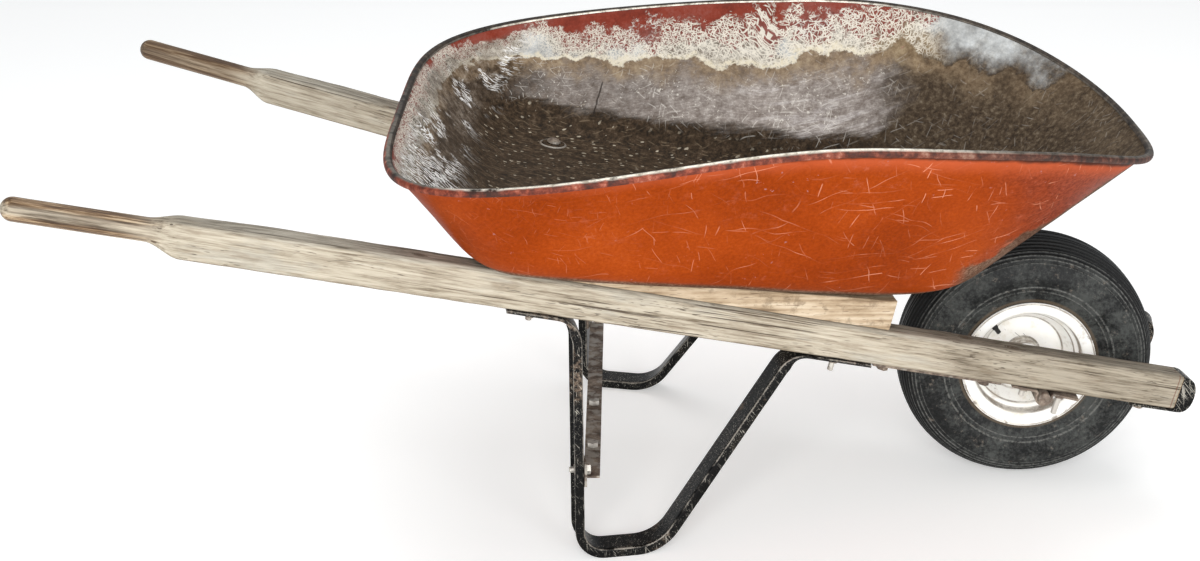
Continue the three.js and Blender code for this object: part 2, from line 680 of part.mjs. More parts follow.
function tyre() {
  const groove = (r, y, slope) => [
    [r, y],
    [r - TREAD_GROOVE, y + 0.8],
    [r - TREAD_GROOVE - slope, y + 2.2],
    [r - slope * 1.6, y + 3],
  ];
  const crown = [
    [TYRE_RADIUS, 0],
    ...groove(TYRE_RADIUS - 0.6, 18, 0.4),
    ...groove(TYRE_RADIUS - 5, 29, 1.1),
  ];
  const side = [
    [0.937, 0.745], [0.887, 0.85], [0.827, 0.942], [0.744, 1], [0.67, 0.972], [0.587, 0.88],
  ].map(([r, y]) => [r * TYRE_RADIUS, y * TYRE_HALF_WIDTH]);
  const bead = [
    [RIM_FLANGE_RADIUS - 2, RIM_HALF_WIDTH - 2.6],
    [RIM_FLANGE_RADIUS - 8, RIM_HALF_WIDTH - 4.4],
    [BEAD_RADIUS + 1.8, RIM_HALF_WIDTH - 6.6],
    [BEAD_RADIUS + SEAT, RIM_HALF_WIDTH - 10],
    [BEAD_RADIUS + SEAT, RIM_HALF_WIDTH - 18],
  ];
  const half = [...crown, ...side, ...bead, ...tyreInside()];
  const mirrored = half.slice(1, -1).reverse().map(([r, y]) => [r, -y]);
  return turned([...half, ...mirrored, half[0]], WHEEL_SEGMENTS);
}

// The tyre's inner face, from its bead to the middle of its crown.
function tyreInside(inset = 0) {
  const top = TYRE_RADIUS - TYRE_WALL - inset;
  const bottom = BEAD_RADIUS + 6;
  const half = TYRE_HALF_WIDTH - TYRE_WALL - inset;
  const points = [[bottom, RIM_HALF_WIDTH - 18.5 - inset]];
  for (let i = 0; i <= 5; i += 1) {
    const angle = -0.75 + (i / 5) * (0.75 + Math.PI / 2);
    const mid = (top + bottom) / 2 + 3;
    points.push([mid + (top - mid) * Math.sin(angle), half * Math.cos(angle) ** 0.8]);
  }
  points[points.length - 1][1] = 0;
  return points;
}

function innerTube() {
  const half = tyreInside(2 * SEAT).slice(1).reverse();
  const low = TUBE_INNER_RADIUS;
  const lower = [[low + 4, RIM_HALF_WIDTH - 20], [low, RIM_HALF_WIDTH - 24]];
  const right = [...half, ...lower];
  const mirrored = right.slice(1).reverse().map(([r, y]) => [r, -y]);
  return turned([...right, ...mirrored, right[0]], TUBE_SEGMENTS);
}

function rimHalf() {
  const back = [
    [HUB_RADIUS + SEAT, SEAT / 2],
    [DISC_RADIUS - 2, SEAT / 2],
    [DISC_RADIUS + 2, 3],
    [BEAD_RADIUS - 5, 26],
    [BEAD_RADIUS, 29],
    [BEAD_RADIUS, RIM_HALF_WIDTH - 9.5],
    [BEAD_RADIUS + 1.4, RIM_HALF_WIDTH - 5.6],
    [RIM_FLANGE_RADIUS - 8, RIM_HALF_WIDTH - 3.4],
    [RIM_FLANGE_RADIUS + 0.6, RIM_HALF_WIDTH - 0.4],
  ];
  const t = RIM_SHEET;
  const front = [
    [RIM_FLANGE_RADIUS, RIM_HALF_WIDTH + 2],
    [RIM_FLANGE_RADIUS - 9, RIM_HALF_WIDTH - 0.6],
    [BEAD_RADIUS - t + 2, RIM_HALF_WIDTH - 3.4],
    [BEAD_RADIUS - t, RIM_HALF_WIDTH - 8],
    [BEAD_RADIUS - t, 31],
    [BEAD_RADIUS - t - 4.8, 27.6],
    [DISC_RADIUS - 0.4, 4.6],
    [DISC_RADIUS - 4, SEAT / 2 + t],
    [HUB_RADIUS + SEAT, SEAT / 2 + t],
  ];
  return turned([...back, ...front, back[0]], WHEEL_SEGMENTS);
}

// The valve leans out of the tube through the sloping wall of one rim half.
function valvePlaced(geometry) {
  const lean = new THREE.Vector3(-0.6, -0.8, 0);
  geometry.applyQuaternion(new THREE.Quaternion().setFromUnitVectors(new THREE.Vector3(0, 1, 0), lean));
  const tubeFlat = TUBE_INNER_RADIUS * Math.cos(Math.PI / TUBE_SEGMENTS);
  geometry.translate(tubeFlat - SEAT + lean.y * VALVE_RADIUS, -12, 0);
  return geometry.rotateY(-VALVE_ANGLE);
}

function valveStem() {
  const profile = [
    [0, 0], [VALVE_RADIUS, 0], [VALVE_RADIUS, VALVE_LENGTH - 8],
    [VALVE_RADIUS - 1, VALVE_LENGTH - 7], [VALVE_RADIUS - 1, VALVE_LENGTH], [0, VALVE_LENGTH],
  ];
  return valvePlaced(turned(profile, 12));
}

function valveHole() {
  const radius = VALVE_RADIUS + SEAT;
  return valvePlaced(turned([[0, 0], [radius, 0], [radius, VALVE_LENGTH], [0, VALVE_LENGTH]], 12));
}

function hub() {
  const bore = BEARING_RADIUS + SEAT;
  const shoulder = BEARING_OUTER_FACE - BEARING_WIDTH - SEAT;
  const half = [
    [HUB_RADIUS, HUB_HALF_LENGTH], [bore, HUB_HALF_LENGTH], [bore, shoulder], [bore - 5, shoulder],
  ];
  const whole = [...half, ...half.slice().reverse().map(([r, y]) => [r, -y]), half[0]];
  return turned(whole, 28);
}

function ring(outer, inner, from, to, segments = 20) {
  return turned([[inner, from], [outer, from], [outer, to], [inner, to], [inner, from]], segments);
}

const HALF_HANDLE_ACROSS = HANDLE_WIDTH / 2 / Math.cos(HANDLE_SPREAD);
const AXLE_HALF_LENGTH = AXLE_OUT + HALF_HANDLE_ACROSS + AXLE_END_PAST_HANDLE;
const SPACER_END = AXLE_OUT - HALF_HANDLE_ACROSS - 1.6;
const BEARING_OUTER_FACE = HUB_HALF_LENGTH - 1;

// Assembly
const barrow = new THREE.Group();
barrow.add(trayGroup);

function addTo(group, name, geometry, finish) {
  group.add(piece(name, geometry, finish));
}

function trayBoltHole(side) {
  const toTray = between(handleGroup(side), trayGroup);
  return drill(SHANK_HOLE, TOP - 10, TOP + 20, TRAY_BOLT_STATION).applyMatrix4(toTray);
}

addTo(trayGroup, 'tray', cut(trayShell(), ...SIDES.map(trayBoltHole)), PAINT_RED);

const rightHandle = handleGroup(SIDES[0]);
const bracketToHandle = between(bracketGroup(SIDES[0]), rightHandle);
const studHoles = BRACKET_STUDS.map(({ x }) => (
  drill(SHANK_HOLE, 0, BRACKET_FACE + STUD_DEPTH + 2, x).applyMatrix4(bracketToHandle)));
const screwHoles = [...STRAP_SCREWS.map(({ at }) => at), SHOE_SCREW_STATION, LEG_STUD_STATION]
  .map((at) => drill(SHANK_HOLE, UNDER - 5, UNDER + STUD_DEPTH + 2, at));
const timber = cut(
  handleTimber(), ...studHoles, ...screwHoles, drill(SHANK_HOLE, UNDER - 5, TOP + 5, TRAY_BOLT_STATION));
const wedge = cut(riserWedge(rightHandle), drill(SHANK_HOLE, TOP - 5, TOP + 40, TRAY_BOLT_STATION));
const leg = legChannel();

const NUT_BOTTOM = TONGUE_FACE - LEG_SHEET - SEAT - NUT_HEIGHT; // of the nuts under the legs' tongues

// The point of a tray bolt's axis at a given height over the tray's outer floor, in the tray's frame.
function onBoltAxis(height) {
  const toTray = between(rightHandle, trayGroup);
  const low = new THREE.Vector3(TRAY_BOLT_STATION, 0, TOP).applyMatrix4(toTray);
  const high = new THREE.Vector3(TRAY_BOLT_STATION, 0, TOP + 1).applyMatrix4(toTray);
  return low.clone().lerp(high, (height - low.z) / (high.z - low.z));
}

const washerPlace = onBoltAxis(SHEET + SEAT + WASHER_SHEET / 2);
const headTilt = new THREE.Vector3(0, 0, 1).transformDirection(between(rightHandle, trayGroup));
const headSeat = onBoltAxis(SHEET + WASHER_SHEET + 2 * SEAT)
  .applyMatrix4(between(trayGroup, rightHandle)).z + DOME_RADIUS * Math.hypot(headTilt.x, headTilt.y);

for (const side of SIDES) {
  const group = handleGroup(side);
  const put = (name, geometry, finish) => addTo(group, `${name}_${side.name}`, geometry, finish);
  put('handle', forSide(side, timber), OLD_WOOD);
  put('riser_wedge', forSide(side, wedge), PALE_WOOD);
  put('leg', forSide(side, leg), BLACK_PAINT);
  const trayBolt = domeBolt(NUT_BOTTOM - TRAY_BOLT_TAIL, headSeat);
  put('tray_bolt', trayBolt.translate(TRAY_BOLT_STATION, 0, 0), WORN_STEEL);
  put('tray_nut', hexNut().translate(TRAY_BOLT_STATION, 0, NUT_BOTTOM), RUSTY_STEEL);
  const legStud = stud(NUT_BOTTOM - LEG_STUD_TAIL, UNDER + STUD_DEPTH);
  put('leg_stud', legStud.translate(LEG_STUD_STATION, 0, 0), WORN_STEEL);
  put('leg_nut', hexNut().translate(LEG_STUD_STATION, 0, NUT_BOTTOM), RUSTY_STEEL);
  put('underside_strap', forSide(side, undersideStrap()), RUSTY_STEEL);
  for (const { name, at } of STRAP_SCREWS) {
    const screw = hexScrew(TONGUE_FACE - STRAP_SHEET - SEAT, STUD_DEPTH).translate(at, 0, 0);
    put(`strap_screw_${name}`, screw, RUSTY_STEEL);
  }
  put('nose_shoe', forSide(side, noseShoe()), BLACK_PAINT);
  const shoeScrew = hexScrew(TONGUE_FACE - SHOE_SHEET - SEAT, STUD_DEPTH);
  put('shoe_screw', shoeScrew.translate(SHOE_SCREW_STATION, 0, 0), RUSTY_STEEL);
  const earBolt = hexScrew(0, 20).rotateX(Math.PI).translate(0, 0, SEAT + BRACE_SHEET + SEAT);
  put('brace_bolt', forSide(side, earBolt.applyMatrix4(earBoltPlace)), RUSTY_STEEL);
  const earNut = hexNut().translate(0, 0, -LEG_SHEET - SEAT - NUT_HEIGHT);
  put('brace_nut', forSide(side, earNut.applyMatrix4(earBoltPlace)), RUSTY_STEEL);
  barrow.add(group);

  const bracket = bracketGroup(side);
  addTo(bracket, `axle_bracket_${side.name}`, axleBracket(), RUSTY_STEEL);
  const nutBottom = BRACKET_FACE - STRAP_SHEET - SEAT - NUT_HEIGHT;
  for (const { name, x } of BRACKET_STUDS) {
    const shank = stud(nutBottom - BRACKET_STUD_TAIL[name], BRACKET_FACE + STUD_DEPTH);
    addTo(bracket, `bracket_stud_${name}_${side.name}`, shank.translate(x, 0, 0), WORN_STEEL);
    addTo(bracket, `bracket_nut_${name}_${side.name}`, hexNut().translate(x, 0, nutBottom), RUSTY_STEEL);
  }
  barrow.add(bracket);

  const washer = ring(WASHER_RADIUS, SHANK_HOLE + SEAT, -WASHER_SHEET / 2, WASHER_SHEET / 2, 16);
  washer.rotateX(Math.PI / 2).translate(washerPlace.x, -side.sign * washerPlace.y, washerPlace.z);
  addTo(trayGroup, `tray_washer_${side.name}`, washer, RUSTY_STEEL);
  addTo(barrow, `brace_strap_${side.name}`, braceStrap(side), RUSTY_STEEL);
}

BRACE_LAP_BOLTS.forEach((y, i) => {
  const name = ['inner', 'outer'][i];
  const under = braceLevel(SIDES[1]) - SEAT;
  const bolt = hexScrew(0, 18).rotateX(Math.PI).translate(BRACE_X, -y, BRACE_HEIGHT + BRACE_SHEET + SEAT);
  addTo(barrow, `lap_bolt_${name}`, bolt, RUSTY_STEEL);
  addTo(barrow, `lap_nut_${name}`, hexNut().translate(BRACE_X, -y, under - NUT_HEIGHT), RUSTY_STEEL);
});

const wheel = new THREE.Group();
wheel.position.set(0, 0, AXLE_HEIGHT);
barrow.add(wheel);
const axleProfile = [
  [0, -AXLE_HALF_LENGTH], [AXLE_RADIUS - 1, -AXLE_HALF_LENGTH], [AXLE_RADIUS, 1 - AXLE_HALF_LENGTH],
  [AXLE_RADIUS, AXLE_HALF_LENGTH - 1], [AXLE_RADIUS - 1, AXLE_HALF_LENGTH], [0, AXLE_HALF_LENGTH],
];
addTo(wheel, 'axle', turned(axleProfile, 24), RUSTY_STEEL);
addTo(wheel, 'tyre', tyre(), RUBBER);
addTo(wheel, 'inner_tube', innerTube(), RUBBER);
addTo(wheel, 'hub', hub(), CREAM_PAINT);
addTo(wheel, 'rim_half_left', rimHalf(), CREAM_PAINT);
addTo(wheel, 'rim_half_right', cut(rimHalf().rotateX(Math.PI), valveHole()), CREAM_PAINT);
addTo(wheel, 'valve_stem', valveStem(), RUBBER);
for (const side of SIDES) {
  const bearingFrom = BEARING_OUTER_FACE - BEARING_WIDTH;
  const bearing = ring(BEARING_RADIUS, AXLE_RADIUS + TURN_CLEARANCE, bearingFrom, BEARING_OUTER_FACE);
  const spacerBore = AXLE_RADIUS + SEAT;
  const spacer = ring(spacerBore + SPACER_WALL, spacerBore, BEARING_OUTER_FACE + SEAT, SPACER_END);
  if (side.sign < 0) [bearing, spacer].forEach((geometry) => geometry.rotateX(Math.PI));
  addTo(wheel, `bearing_${side.name}`, bearing, WORN_STEEL);
  addTo(wheel, `axle_spacer_${side.name}`, spacer, RUSTY_STEEL);
}

// The origin goes to the middle of the outer box.
const box = new THREE.Box3().setFromObject(barrow, true);
for (const child of barrow.children) child.position.x -= (box.min.x + box.max.x) / 2;

export default barrow;
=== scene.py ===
"""The looks of a worn wheelbarrow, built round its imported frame. Lengths are in mm until a mesh is made."""

import functools
import json
import math
import operator

import bpy
import numpy as np
from mathutils import Matrix, Vector


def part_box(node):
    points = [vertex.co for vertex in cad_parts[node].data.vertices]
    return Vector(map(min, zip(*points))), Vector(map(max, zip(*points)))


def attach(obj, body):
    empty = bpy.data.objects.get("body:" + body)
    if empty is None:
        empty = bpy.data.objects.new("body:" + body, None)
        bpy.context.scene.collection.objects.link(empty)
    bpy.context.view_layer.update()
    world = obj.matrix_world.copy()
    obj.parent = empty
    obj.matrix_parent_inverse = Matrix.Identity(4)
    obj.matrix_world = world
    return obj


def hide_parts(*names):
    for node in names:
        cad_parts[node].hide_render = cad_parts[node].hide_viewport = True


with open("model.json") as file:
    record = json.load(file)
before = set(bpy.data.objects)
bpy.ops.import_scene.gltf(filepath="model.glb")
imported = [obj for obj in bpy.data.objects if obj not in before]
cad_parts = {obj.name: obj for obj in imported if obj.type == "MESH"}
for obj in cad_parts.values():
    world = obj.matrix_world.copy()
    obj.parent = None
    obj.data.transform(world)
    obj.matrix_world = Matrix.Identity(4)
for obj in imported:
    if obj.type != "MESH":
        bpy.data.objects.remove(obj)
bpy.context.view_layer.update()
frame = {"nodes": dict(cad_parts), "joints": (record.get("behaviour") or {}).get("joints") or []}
nodes = frame["nodes"]

MM = 0.001
AXLE = np.array(frame["joints"][0]["pos_m"]) / MM
SIDES = (("right", -1), ("left", 1))

# ---- camera
CAMERA_FROM_AXLE = np.array([-544.33, -2421.47, 1057.24])
CAMERA_YAW, CAMERA_PITCH, CAMERA_ROLL = -0.0094, 0.3776, -0.0044
CAMERA_LENS, CAMERA_SENSOR = 58.86, 36


def build_camera():
    cy, sy = math.cos(CAMERA_YAW), math.sin(CAMERA_YAW)
    cp, sp = math.cos(CAMERA_PITCH), math.sin(CAMERA_PITCH)
    cr, sr = math.cos(CAMERA_ROLL), math.sin(CAMERA_ROLL)
    forward = np.array([sy * cp, cy * cp, -sp])
    right = np.array([cy, -sy, 0.0])
    down = np.cross(forward, right)
    data = bpy.data.cameras.new("camera")
    data.sensor_width = CAMERA_SENSOR
    data.lens = CAMERA_LENS
    data.clip_start, data.clip_end = 0.05, 60
    camera = bpy.data.objects.new("camera", data)
    columns = np.array([cr * right + sr * down, sr * right - cr * down, -forward]).T
    place = Matrix(columns.tolist()).to_4x4()
    place.translation = Vector(((AXLE + CAMERA_FROM_AXLE) * MM).tolist())
    camera.matrix_world = place
    bpy.context.scene.collection.objects.link(camera)
    bpy.context.scene.camera = camera


# ---- meshes
def make(name, points, faces, materials, body="frame", replaces=(),
         face_material=None, uv=None, scalars=None, vectors=None, sharp=40):
    """A piece of the scene; it also turns the faces of a closed body outwards."""
    triangles = np.array([[f[0], f[k], f[k + 1]] for f in faces for k in range(1, len(f) - 1)])
    p = np.asarray(points)[triangles]
    if np.einsum("ij,ij->", p[:, 0], np.cross(p[:, 1], p[:, 2])) <= 0:
        faces = [f[::-1] for f in faces]
    mesh = bpy.data.meshes.new(name)
    mesh.from_pydata((np.asarray(points, float) * MM).tolist(), [], faces)
    for material in materials:
        mesh.materials.append(material)
    if face_material is not None:
        mesh.polygons.foreach_set("material_index", np.asarray(face_material, np.int32))
    if uv is not None:
        layer = mesh.uv_layers.new(name="UVMap")
        loops = np.zeros(len(mesh.loops), np.int32)
        mesh.loops.foreach_get("vertex_index", loops)
        layer.data.foreach_set("uv", (np.asarray(uv, np.float32)[loops]).ravel())
    for kind, field, given in (("FLOAT", "value", scalars), ("FLOAT_VECTOR", "vector", vectors)):
        for key, values in (given or {}).items():
            attribute = mesh.attributes.new(key, kind, "POINT")
            attribute.data.foreach_set(field, np.asarray(values, np.float32).ravel())
    mesh.shade_smooth()
    mesh.set_sharp_from_angle(angle=math.radians(sharp))
    mesh.validate()
    obj = bpy.data.objects.new(name, mesh)
    bpy.context.scene.collection.objects.link(obj)
    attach(obj, body)
    if replaces:
        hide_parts(*replaces)


def grid_faces(rings, count, close_rings=False):
    """Quads between neighbouring rings of points."""
    faces = []
    for i in range(rings if close_rings else rings - 1):
        a, b = i * count, ((i + 1) % rings) * count
        faces += [[a + j, a + (j + 1) % count, b + (j + 1) % count, b + j] for j in range(count)]
    return faces


def capped_tube(rings):
    """Points and faces of a tube through rings of points, with a flat cap at each end."""
    number, count = rings.shape[:2]
    ends = [list(range(count))[::-1], list(range((number - 1) * count, number * count))]
    return rings.reshape(-1, 3), grid_faces(number, count) + ends


def turned(profile, segments, centre=(0, 0, 0), axis="y"):
    """Turns a closed profile of (radius, along) about an axis; returns points and faces."""
    angles = np.arange(segments) * 2 * np.pi / segments
    profile = np.asarray(profile, float)
    radius, along = profile[:, 0][:, None], profile[:, 1][:, None]
    c, s = radius * np.cos(angles)[None, :], radius * np.sin(angles)[None, :]
    points = np.stack([c, along + 0 * c, s] if axis == "y" else [c, s, along + 0 * c], -1)
    points = points.reshape(-1, 3) + np.asarray(centre, float)
    return points, grid_faces(len(profile), segments, close_rings=True)


def smooth_curve(controls, per_span):
    """A Catmull-Rom curve through points, open at both ends."""
    p = np.asarray(controls, float)
    p = np.vstack([2 * p[0] - p[1], p, 2 * p[-1] - p[-2]])
    out = []
    for a, b, c, d in zip(p, p[1:], p[2:], p[3:]):
        for t in np.arange(per_span) / per_span:
            out.append(0.5 * (2 * b + (c - a) * t + (2 * a - 5 * b + 4 * c - d) * t**2
                              + (3 * b - a - 3 * c + d) * t**3))
    return np.array(out + [p[-2]])


def wave_noise(seed, points, wavelength, octaves):
    """Smooth pseudo-random values, about -1 to 1, made of sine waves in random directions."""
    maker = np.random.default_rng(seed)
    total = np.zeros(len(points))
    weight = 0
    for octave in range(octaves):
        for _ in range(7):
            direction = maker.normal(size=3)
            direction /= np.linalg.norm(direction)
            step = 2 * np.pi / (wavelength / 2**octave * maker.uniform(0.7, 1.4))
            total += 0.5**octave * np.sin(points @ direction * step + maker.uniform(0, 6.28))
        weight += 0.5**octave
    return total / (weight * 2.6)


def smoothstep(x):
    x = np.clip(x, 0, 1)
    return x * x * (3 - 2 * x)


# ---- material tools
def srgb(r, g, b):
    def linear(v):
        v /= 255
        return v / 12.92 if v <= 0.04045 else ((v + 0.055) / 1.055) ** 2.4
    return (linear(r), linear(g), linear(b), 1.0)


def any_of(masks):
    return functools.reduce(operator.or_, masks)


def operation(name, swapped=False):
    def apply(self, other=0.0):
        return self.paint.math(name, other, self) if swapped else self.paint.math(name, self, other)
    return apply


class Value:
    """An output of a material's node, which can be used like a number or a vector.

    Of two masks, * gives where both are and | where either is.
    """

    def __init__(self, paint, socket):
        self.paint, self.socket = paint, socket

    __add__, __sub__, __mul__ = operation("ADD"), operation("SUBTRACT"), operation("MULTIPLY")
    __or__, __abs__, __rsub__ = operation("MAXIMUM"), operation("ABSOLUTE"), operation("SUBTRACT", True)

    def fray(self, noise, weight):
        """Moves the value by noise about 0.5, which frays an edge."""
        return self + (noise - 0.5) * weight

    def step(self, low, high, to_low=0.0, to_high=1.0):
        """A smooth step from to_low at low to to_high at high."""
        inputs = {"Value": self, "From Min": low, "From Max": high, "To Min": to_low, "To Max": to_high}
        return self.paint.value("MapRange", inputs, "Result", interpolation_type="SMOOTHSTEP")

    def band(self, centre, half, soft):
        """1 within half of centre, fading over soft."""
        return abs(self - centre).step(half + soft, half)

    def curve(self, *stops):
        """A line drawn through stops of (value, result), both in hundredths."""
        low, span = stops[0][0] / 100, (stops[-1][0] - stops[0][0]) / 100
        share = self.paint.math("DIVIDE", self - low, span, clamp=True)
        greys = [((at / 100 - low) / span, (y / 200, y / 200, y / 200, 1)) for at, y in stops]
        return share.colours(greys) * 2.0

    def ramp(self, *stops):
        """A colour drawn through stops of (hundredths of the value, red, green, blue)."""
        return self.colours([(at / 100, srgb(*colour)) for at, *colour in stops])

    def colours(self, stops):
        made = self.paint.node("ValToRGB", {0: self})
        elements = made.color_ramp.elements
        while len(elements) < len(stops):
            elements.new(0.5)
        for element, (at, colour) in zip(elements, stops):
            element.position = at
            element.color = colour
        return Value(self.paint, made.outputs[0])

    def split(self):
        made = self.paint.node("SeparateXYZ", {0: self})
        return [Value(self.paint, socket) for socket in made.outputs]

    def stretched(self, *factors):
        return self.paint.vector("MULTIPLY", self, factors)

    def stirred(self, reach, by, scale, detail=2.0):
        """Moves the vector by up to half of reach, following noise over another vector."""
        inputs = {"Vector": by, "Scale": scale, "Detail": detail}
        noise = self.paint.value("TexNoise", inputs, "Color")
        moves = self.paint.vector("SUBTRACT", noise, (0.5, 0.5, 0.5))
        return self.paint.vector("ADD", self, self.paint.vector("SCALE", moves, reach))

    def turned(self, angle, size=(1, 1, 1), shift=(0, 0, 0)):
        """Turns the vector by -angle and divides it by size, so that a pattern lies along the angle."""
        rotation = angle if isinstance(angle, tuple) else (0, 0, angle)
        inputs = {"Vector": self, "Location": shift, "Rotation": rotation, "Scale": size}
        return self.paint.value("Mapping", inputs, vector_type="TEXTURE")

    def noise(self, scale, detail=4.0, roughness=0.55, flat=False):
        inputs = {"Vector": self, "Scale": scale, "Detail": detail, "Roughness": roughness}
        return self.paint.value("TexNoise", inputs, "Fac", noise_dimensions="2D" if flat else "3D")

    def cells(self):
        """The irregular cell that the vector is in: its middle, its random colour, the distance to its middle."""
        made = self.paint.node("TexVoronoi", {"Vector": self, "Scale": 1.0}, voronoi_dimensions="2D")
        return [Value(self.paint, made.outputs[key]) for key in ("Position", "Color", "Distance")]


class Paint:
    """A material under construction, with its base colour so far."""

    def __init__(self, name):
        self.material = bpy.data.materials.new(name)
        self.material.use_nodes = True
        self.tree = self.material.node_tree
        self.tree.nodes.clear()
        self.shader = self.node("BsdfPrincipled")
        self.value("OutputMaterial", {0: Value(self, self.shader.outputs[0])}, None)
        self.place = self.value("TexCoord", {}, "Object")
        self.uv = self.value("TexCoord", {}, "UV")
        self.base = None

    def node(self, kind, inputs=None, **settings):
        made = self.tree.nodes.new("ShaderNode" + kind)
        for key, setting in settings.items():
            setattr(made, key, setting)
        for key, source in (inputs or {}).items():
            self.feed(made.inputs[key], source)
        return made

    def value(self, kind, inputs, output=0, **settings):
        made = self.node(kind, inputs, **settings)
        return None if output is None else Value(self, made.outputs[output])

    def feed(self, socket, source):
        if isinstance(source, Value):
            self.tree.links.new(source.socket, socket)
        else:
            socket.default_value = source

    def attribute(self, name, output="Fac"):
        return self.value("Attribute", {}, output, attribute_name=name)

    def math(self, operation, a, b=0.0, clamp=False):
        return self.value("Math", {0: a, 1: b}, operation=operation, use_clamp=clamp)

    def vector(self, operation, a, b):
        second = "Scale" if operation == "SCALE" else 1
        return self.value("VectorMath", {0: a, second: b}, operation=operation)

    def blend(self, factor, a, b):
        return self.value("Mix", {0: factor, 2: a, 3: b}, data_type="FLOAT")

    def mix(self, factor, a, b):
        return self.value("Mix", {0: factor, 6: a, 7: b}, 2, data_type="RGBA")

    def coat(self, factor, colour):
        """Lays a colour, a value or (red, green, blue), over the base colour."""
        self.base = self.mix(factor, self.base, srgb(*colour) if isinstance(colour, tuple) else colour)

    def strokes(self, kinds, wander, curl, room, strength=1.3):
        """Thin strokes on the flat map. Each kind of stroke is in some cells of a stretched grid.

        A kind is (angle, length, width, share of the cells, seed). Lengths and wander are in mm.
        """
        moved = self.uv.stirred(wander * MM * 2, self.uv, curl, 1)
        made = []
        for angle, length, width, keep, seed in kinds:
            laid = moved.turned(angle, (length * MM, width * MM * room, 1), (seed, seed * 1.7, 0))
            middle, colour, _ = laid.cells()
            along, across, _ = self.vector("SUBTRACT", laid, middle).split()
            line = abs(across).step(0.8 / room, 0.35 / room)
            ends = abs(along).step(0.44, 0.25)
            chosen = colour.split()[0].step(1 - keep, 1.0, 0.0, strength)
            made.append(self.math("MINIMUM", line * ends * chosen, 1.0))
        return any_of(made)

    def done(self, rough, bump=None, specular=0.5, metal=0.0, **inputs):
        """Feeds the shader and returns the material. A bump is (height, strength, distance in metres)."""
        inputs.update(Base_Color=self.base, Roughness=rough, Specular_IOR_Level=specular, Metallic=metal)
        if bump:
            height, strength, distance = bump
            settings = {"Strength": strength, "Distance": distance, "Height": height}
            inputs["Normal"] = self.value("Bump", settings)
        for key, source in inputs.items():
            self.feed(self.shader.inputs[key.replace("_", " ")], source)
        return self.material


# ---- materials
# In these, x and y run along and across the tray's flat map in metres, and h is the share of the wall's height.
def tray_outside():
    m = Paint("tray_outside")
    place, h = m.place, m.attribute("wall")
    x, y, _ = m.uv.split()
    fine = place.noise(260, 3, 0.65)
    m.base = (place.noise(4.5, 4) * 0.66 + fine * 0.34).ramp(
        (34, 112, 39, 1), (46, 134, 50, 3), (56, 147, 58, 8), (70, 166, 72, 20))
    # darker, redder and dirtier towards the front edge and the bottom bend
    cloud = place.noise(12, 5, 0.6)
    front = x.fray(cloud, 0.22).step(0.27, 0.44)
    m.coat(front * 0.85, fine.ramp((36, 92, 36, 20), (60, 136, 62, 40)))
    m.coat(h.fray(cloud, 0.14).step(0.16, 0.0) * 0.5, (128, 46, 8))
    # a painted reflection of the sky: paler, pinkish paint under the rim
    painted_sky_sheen = h.fray(cloud, 0.1).step(0.84, 0.98) * x.step(-0.42, 0.12, 0.15, 0.8)
    m.coat(painted_sky_sheen, (180, 84, 50))
    # scratches, scuffs and chips
    strokes = m.strokes((
        (0.1, 110, 0.8, 0.26, 0.3), (1.3, 36, 0.8, 0.16, 4.1), (-0.4, 70, 0.8, 0.14, 7.7),
        (2.00, 30, 0.8, 0.14, 2.9), (0.62, 120, 0.8, 0.2, 9.2), (1.62, 20, 0.8, 0.18, 5.5),
        (0.35, 30, 0.8, 0.28, 3.7)), wander=12, curl=17, room=15)
    more = x.step(-0.25, 0.3, 0.35, 1.0)
    scuff = strokes * place.noise(26, 4).step(0.4, 0.62, 0.1, 1.0) * more
    m.coat(scuff * 0.62, (222, 152, 122))
    haze = place.noise(60, 6, 0.75).step(0.52, 0.7) * place.noise(8, 3).step(0.46, 0.66) * more
    m.coat(haze * 0.5, (176, 98, 74))
    chips = place.noise(130, 3, 0.6).step(0.68, 0.71) * place.noise(15, 2).step(0.48, 0.58)
    m.coat(chips * 0.9, (150, 104, 100))
    # bare, brown metal where the sheet turns a corner or has been dumped on
    rags, aside = place.noise(7, 6, 0.7), abs(y)
    nose = x.step(0.27, 0.3) * aside.fray(cloud, 0.07).fray(rags, 0.16).step(0.202, 0.184)
    tail = x.step(-0.27, -0.31) * aside.fray(cloud, 0.14).fray(rags, 0.5).step(0.3, 0.26)
    tail = tail * rags.fray(cloud, 0.5).step(0.42, 0.54, 0.25, 1.0)
    bend = h.fray(cloud, 0.03).step(0.092, 0.066)
    worn = nose * 0.85 | tail * 0.7 | bend * 0.8
    m.coat(worn, fine.fray(cloud, 0.5).ramp((35, 56, 44, 34), (50, 88, 74, 60), (65, 126, 110, 94)))
    # a painted shadow: a dark line just under the rim's roll
    m.coat(h.fray(place.noise(60, 4), 0.03).step(0.945, 0.972), (70, 38, 28))
    rough = place.noise(30, 5) * 0.16 + 0.36 + (scuff | painted_sky_sheen | chips | worn) * 0.22
    height = place.noise(300, 2) * 0.25 - (scuff | chips)
    return m.done(rough, specular=0.04, bump=(height, 0.25, 0.0006))


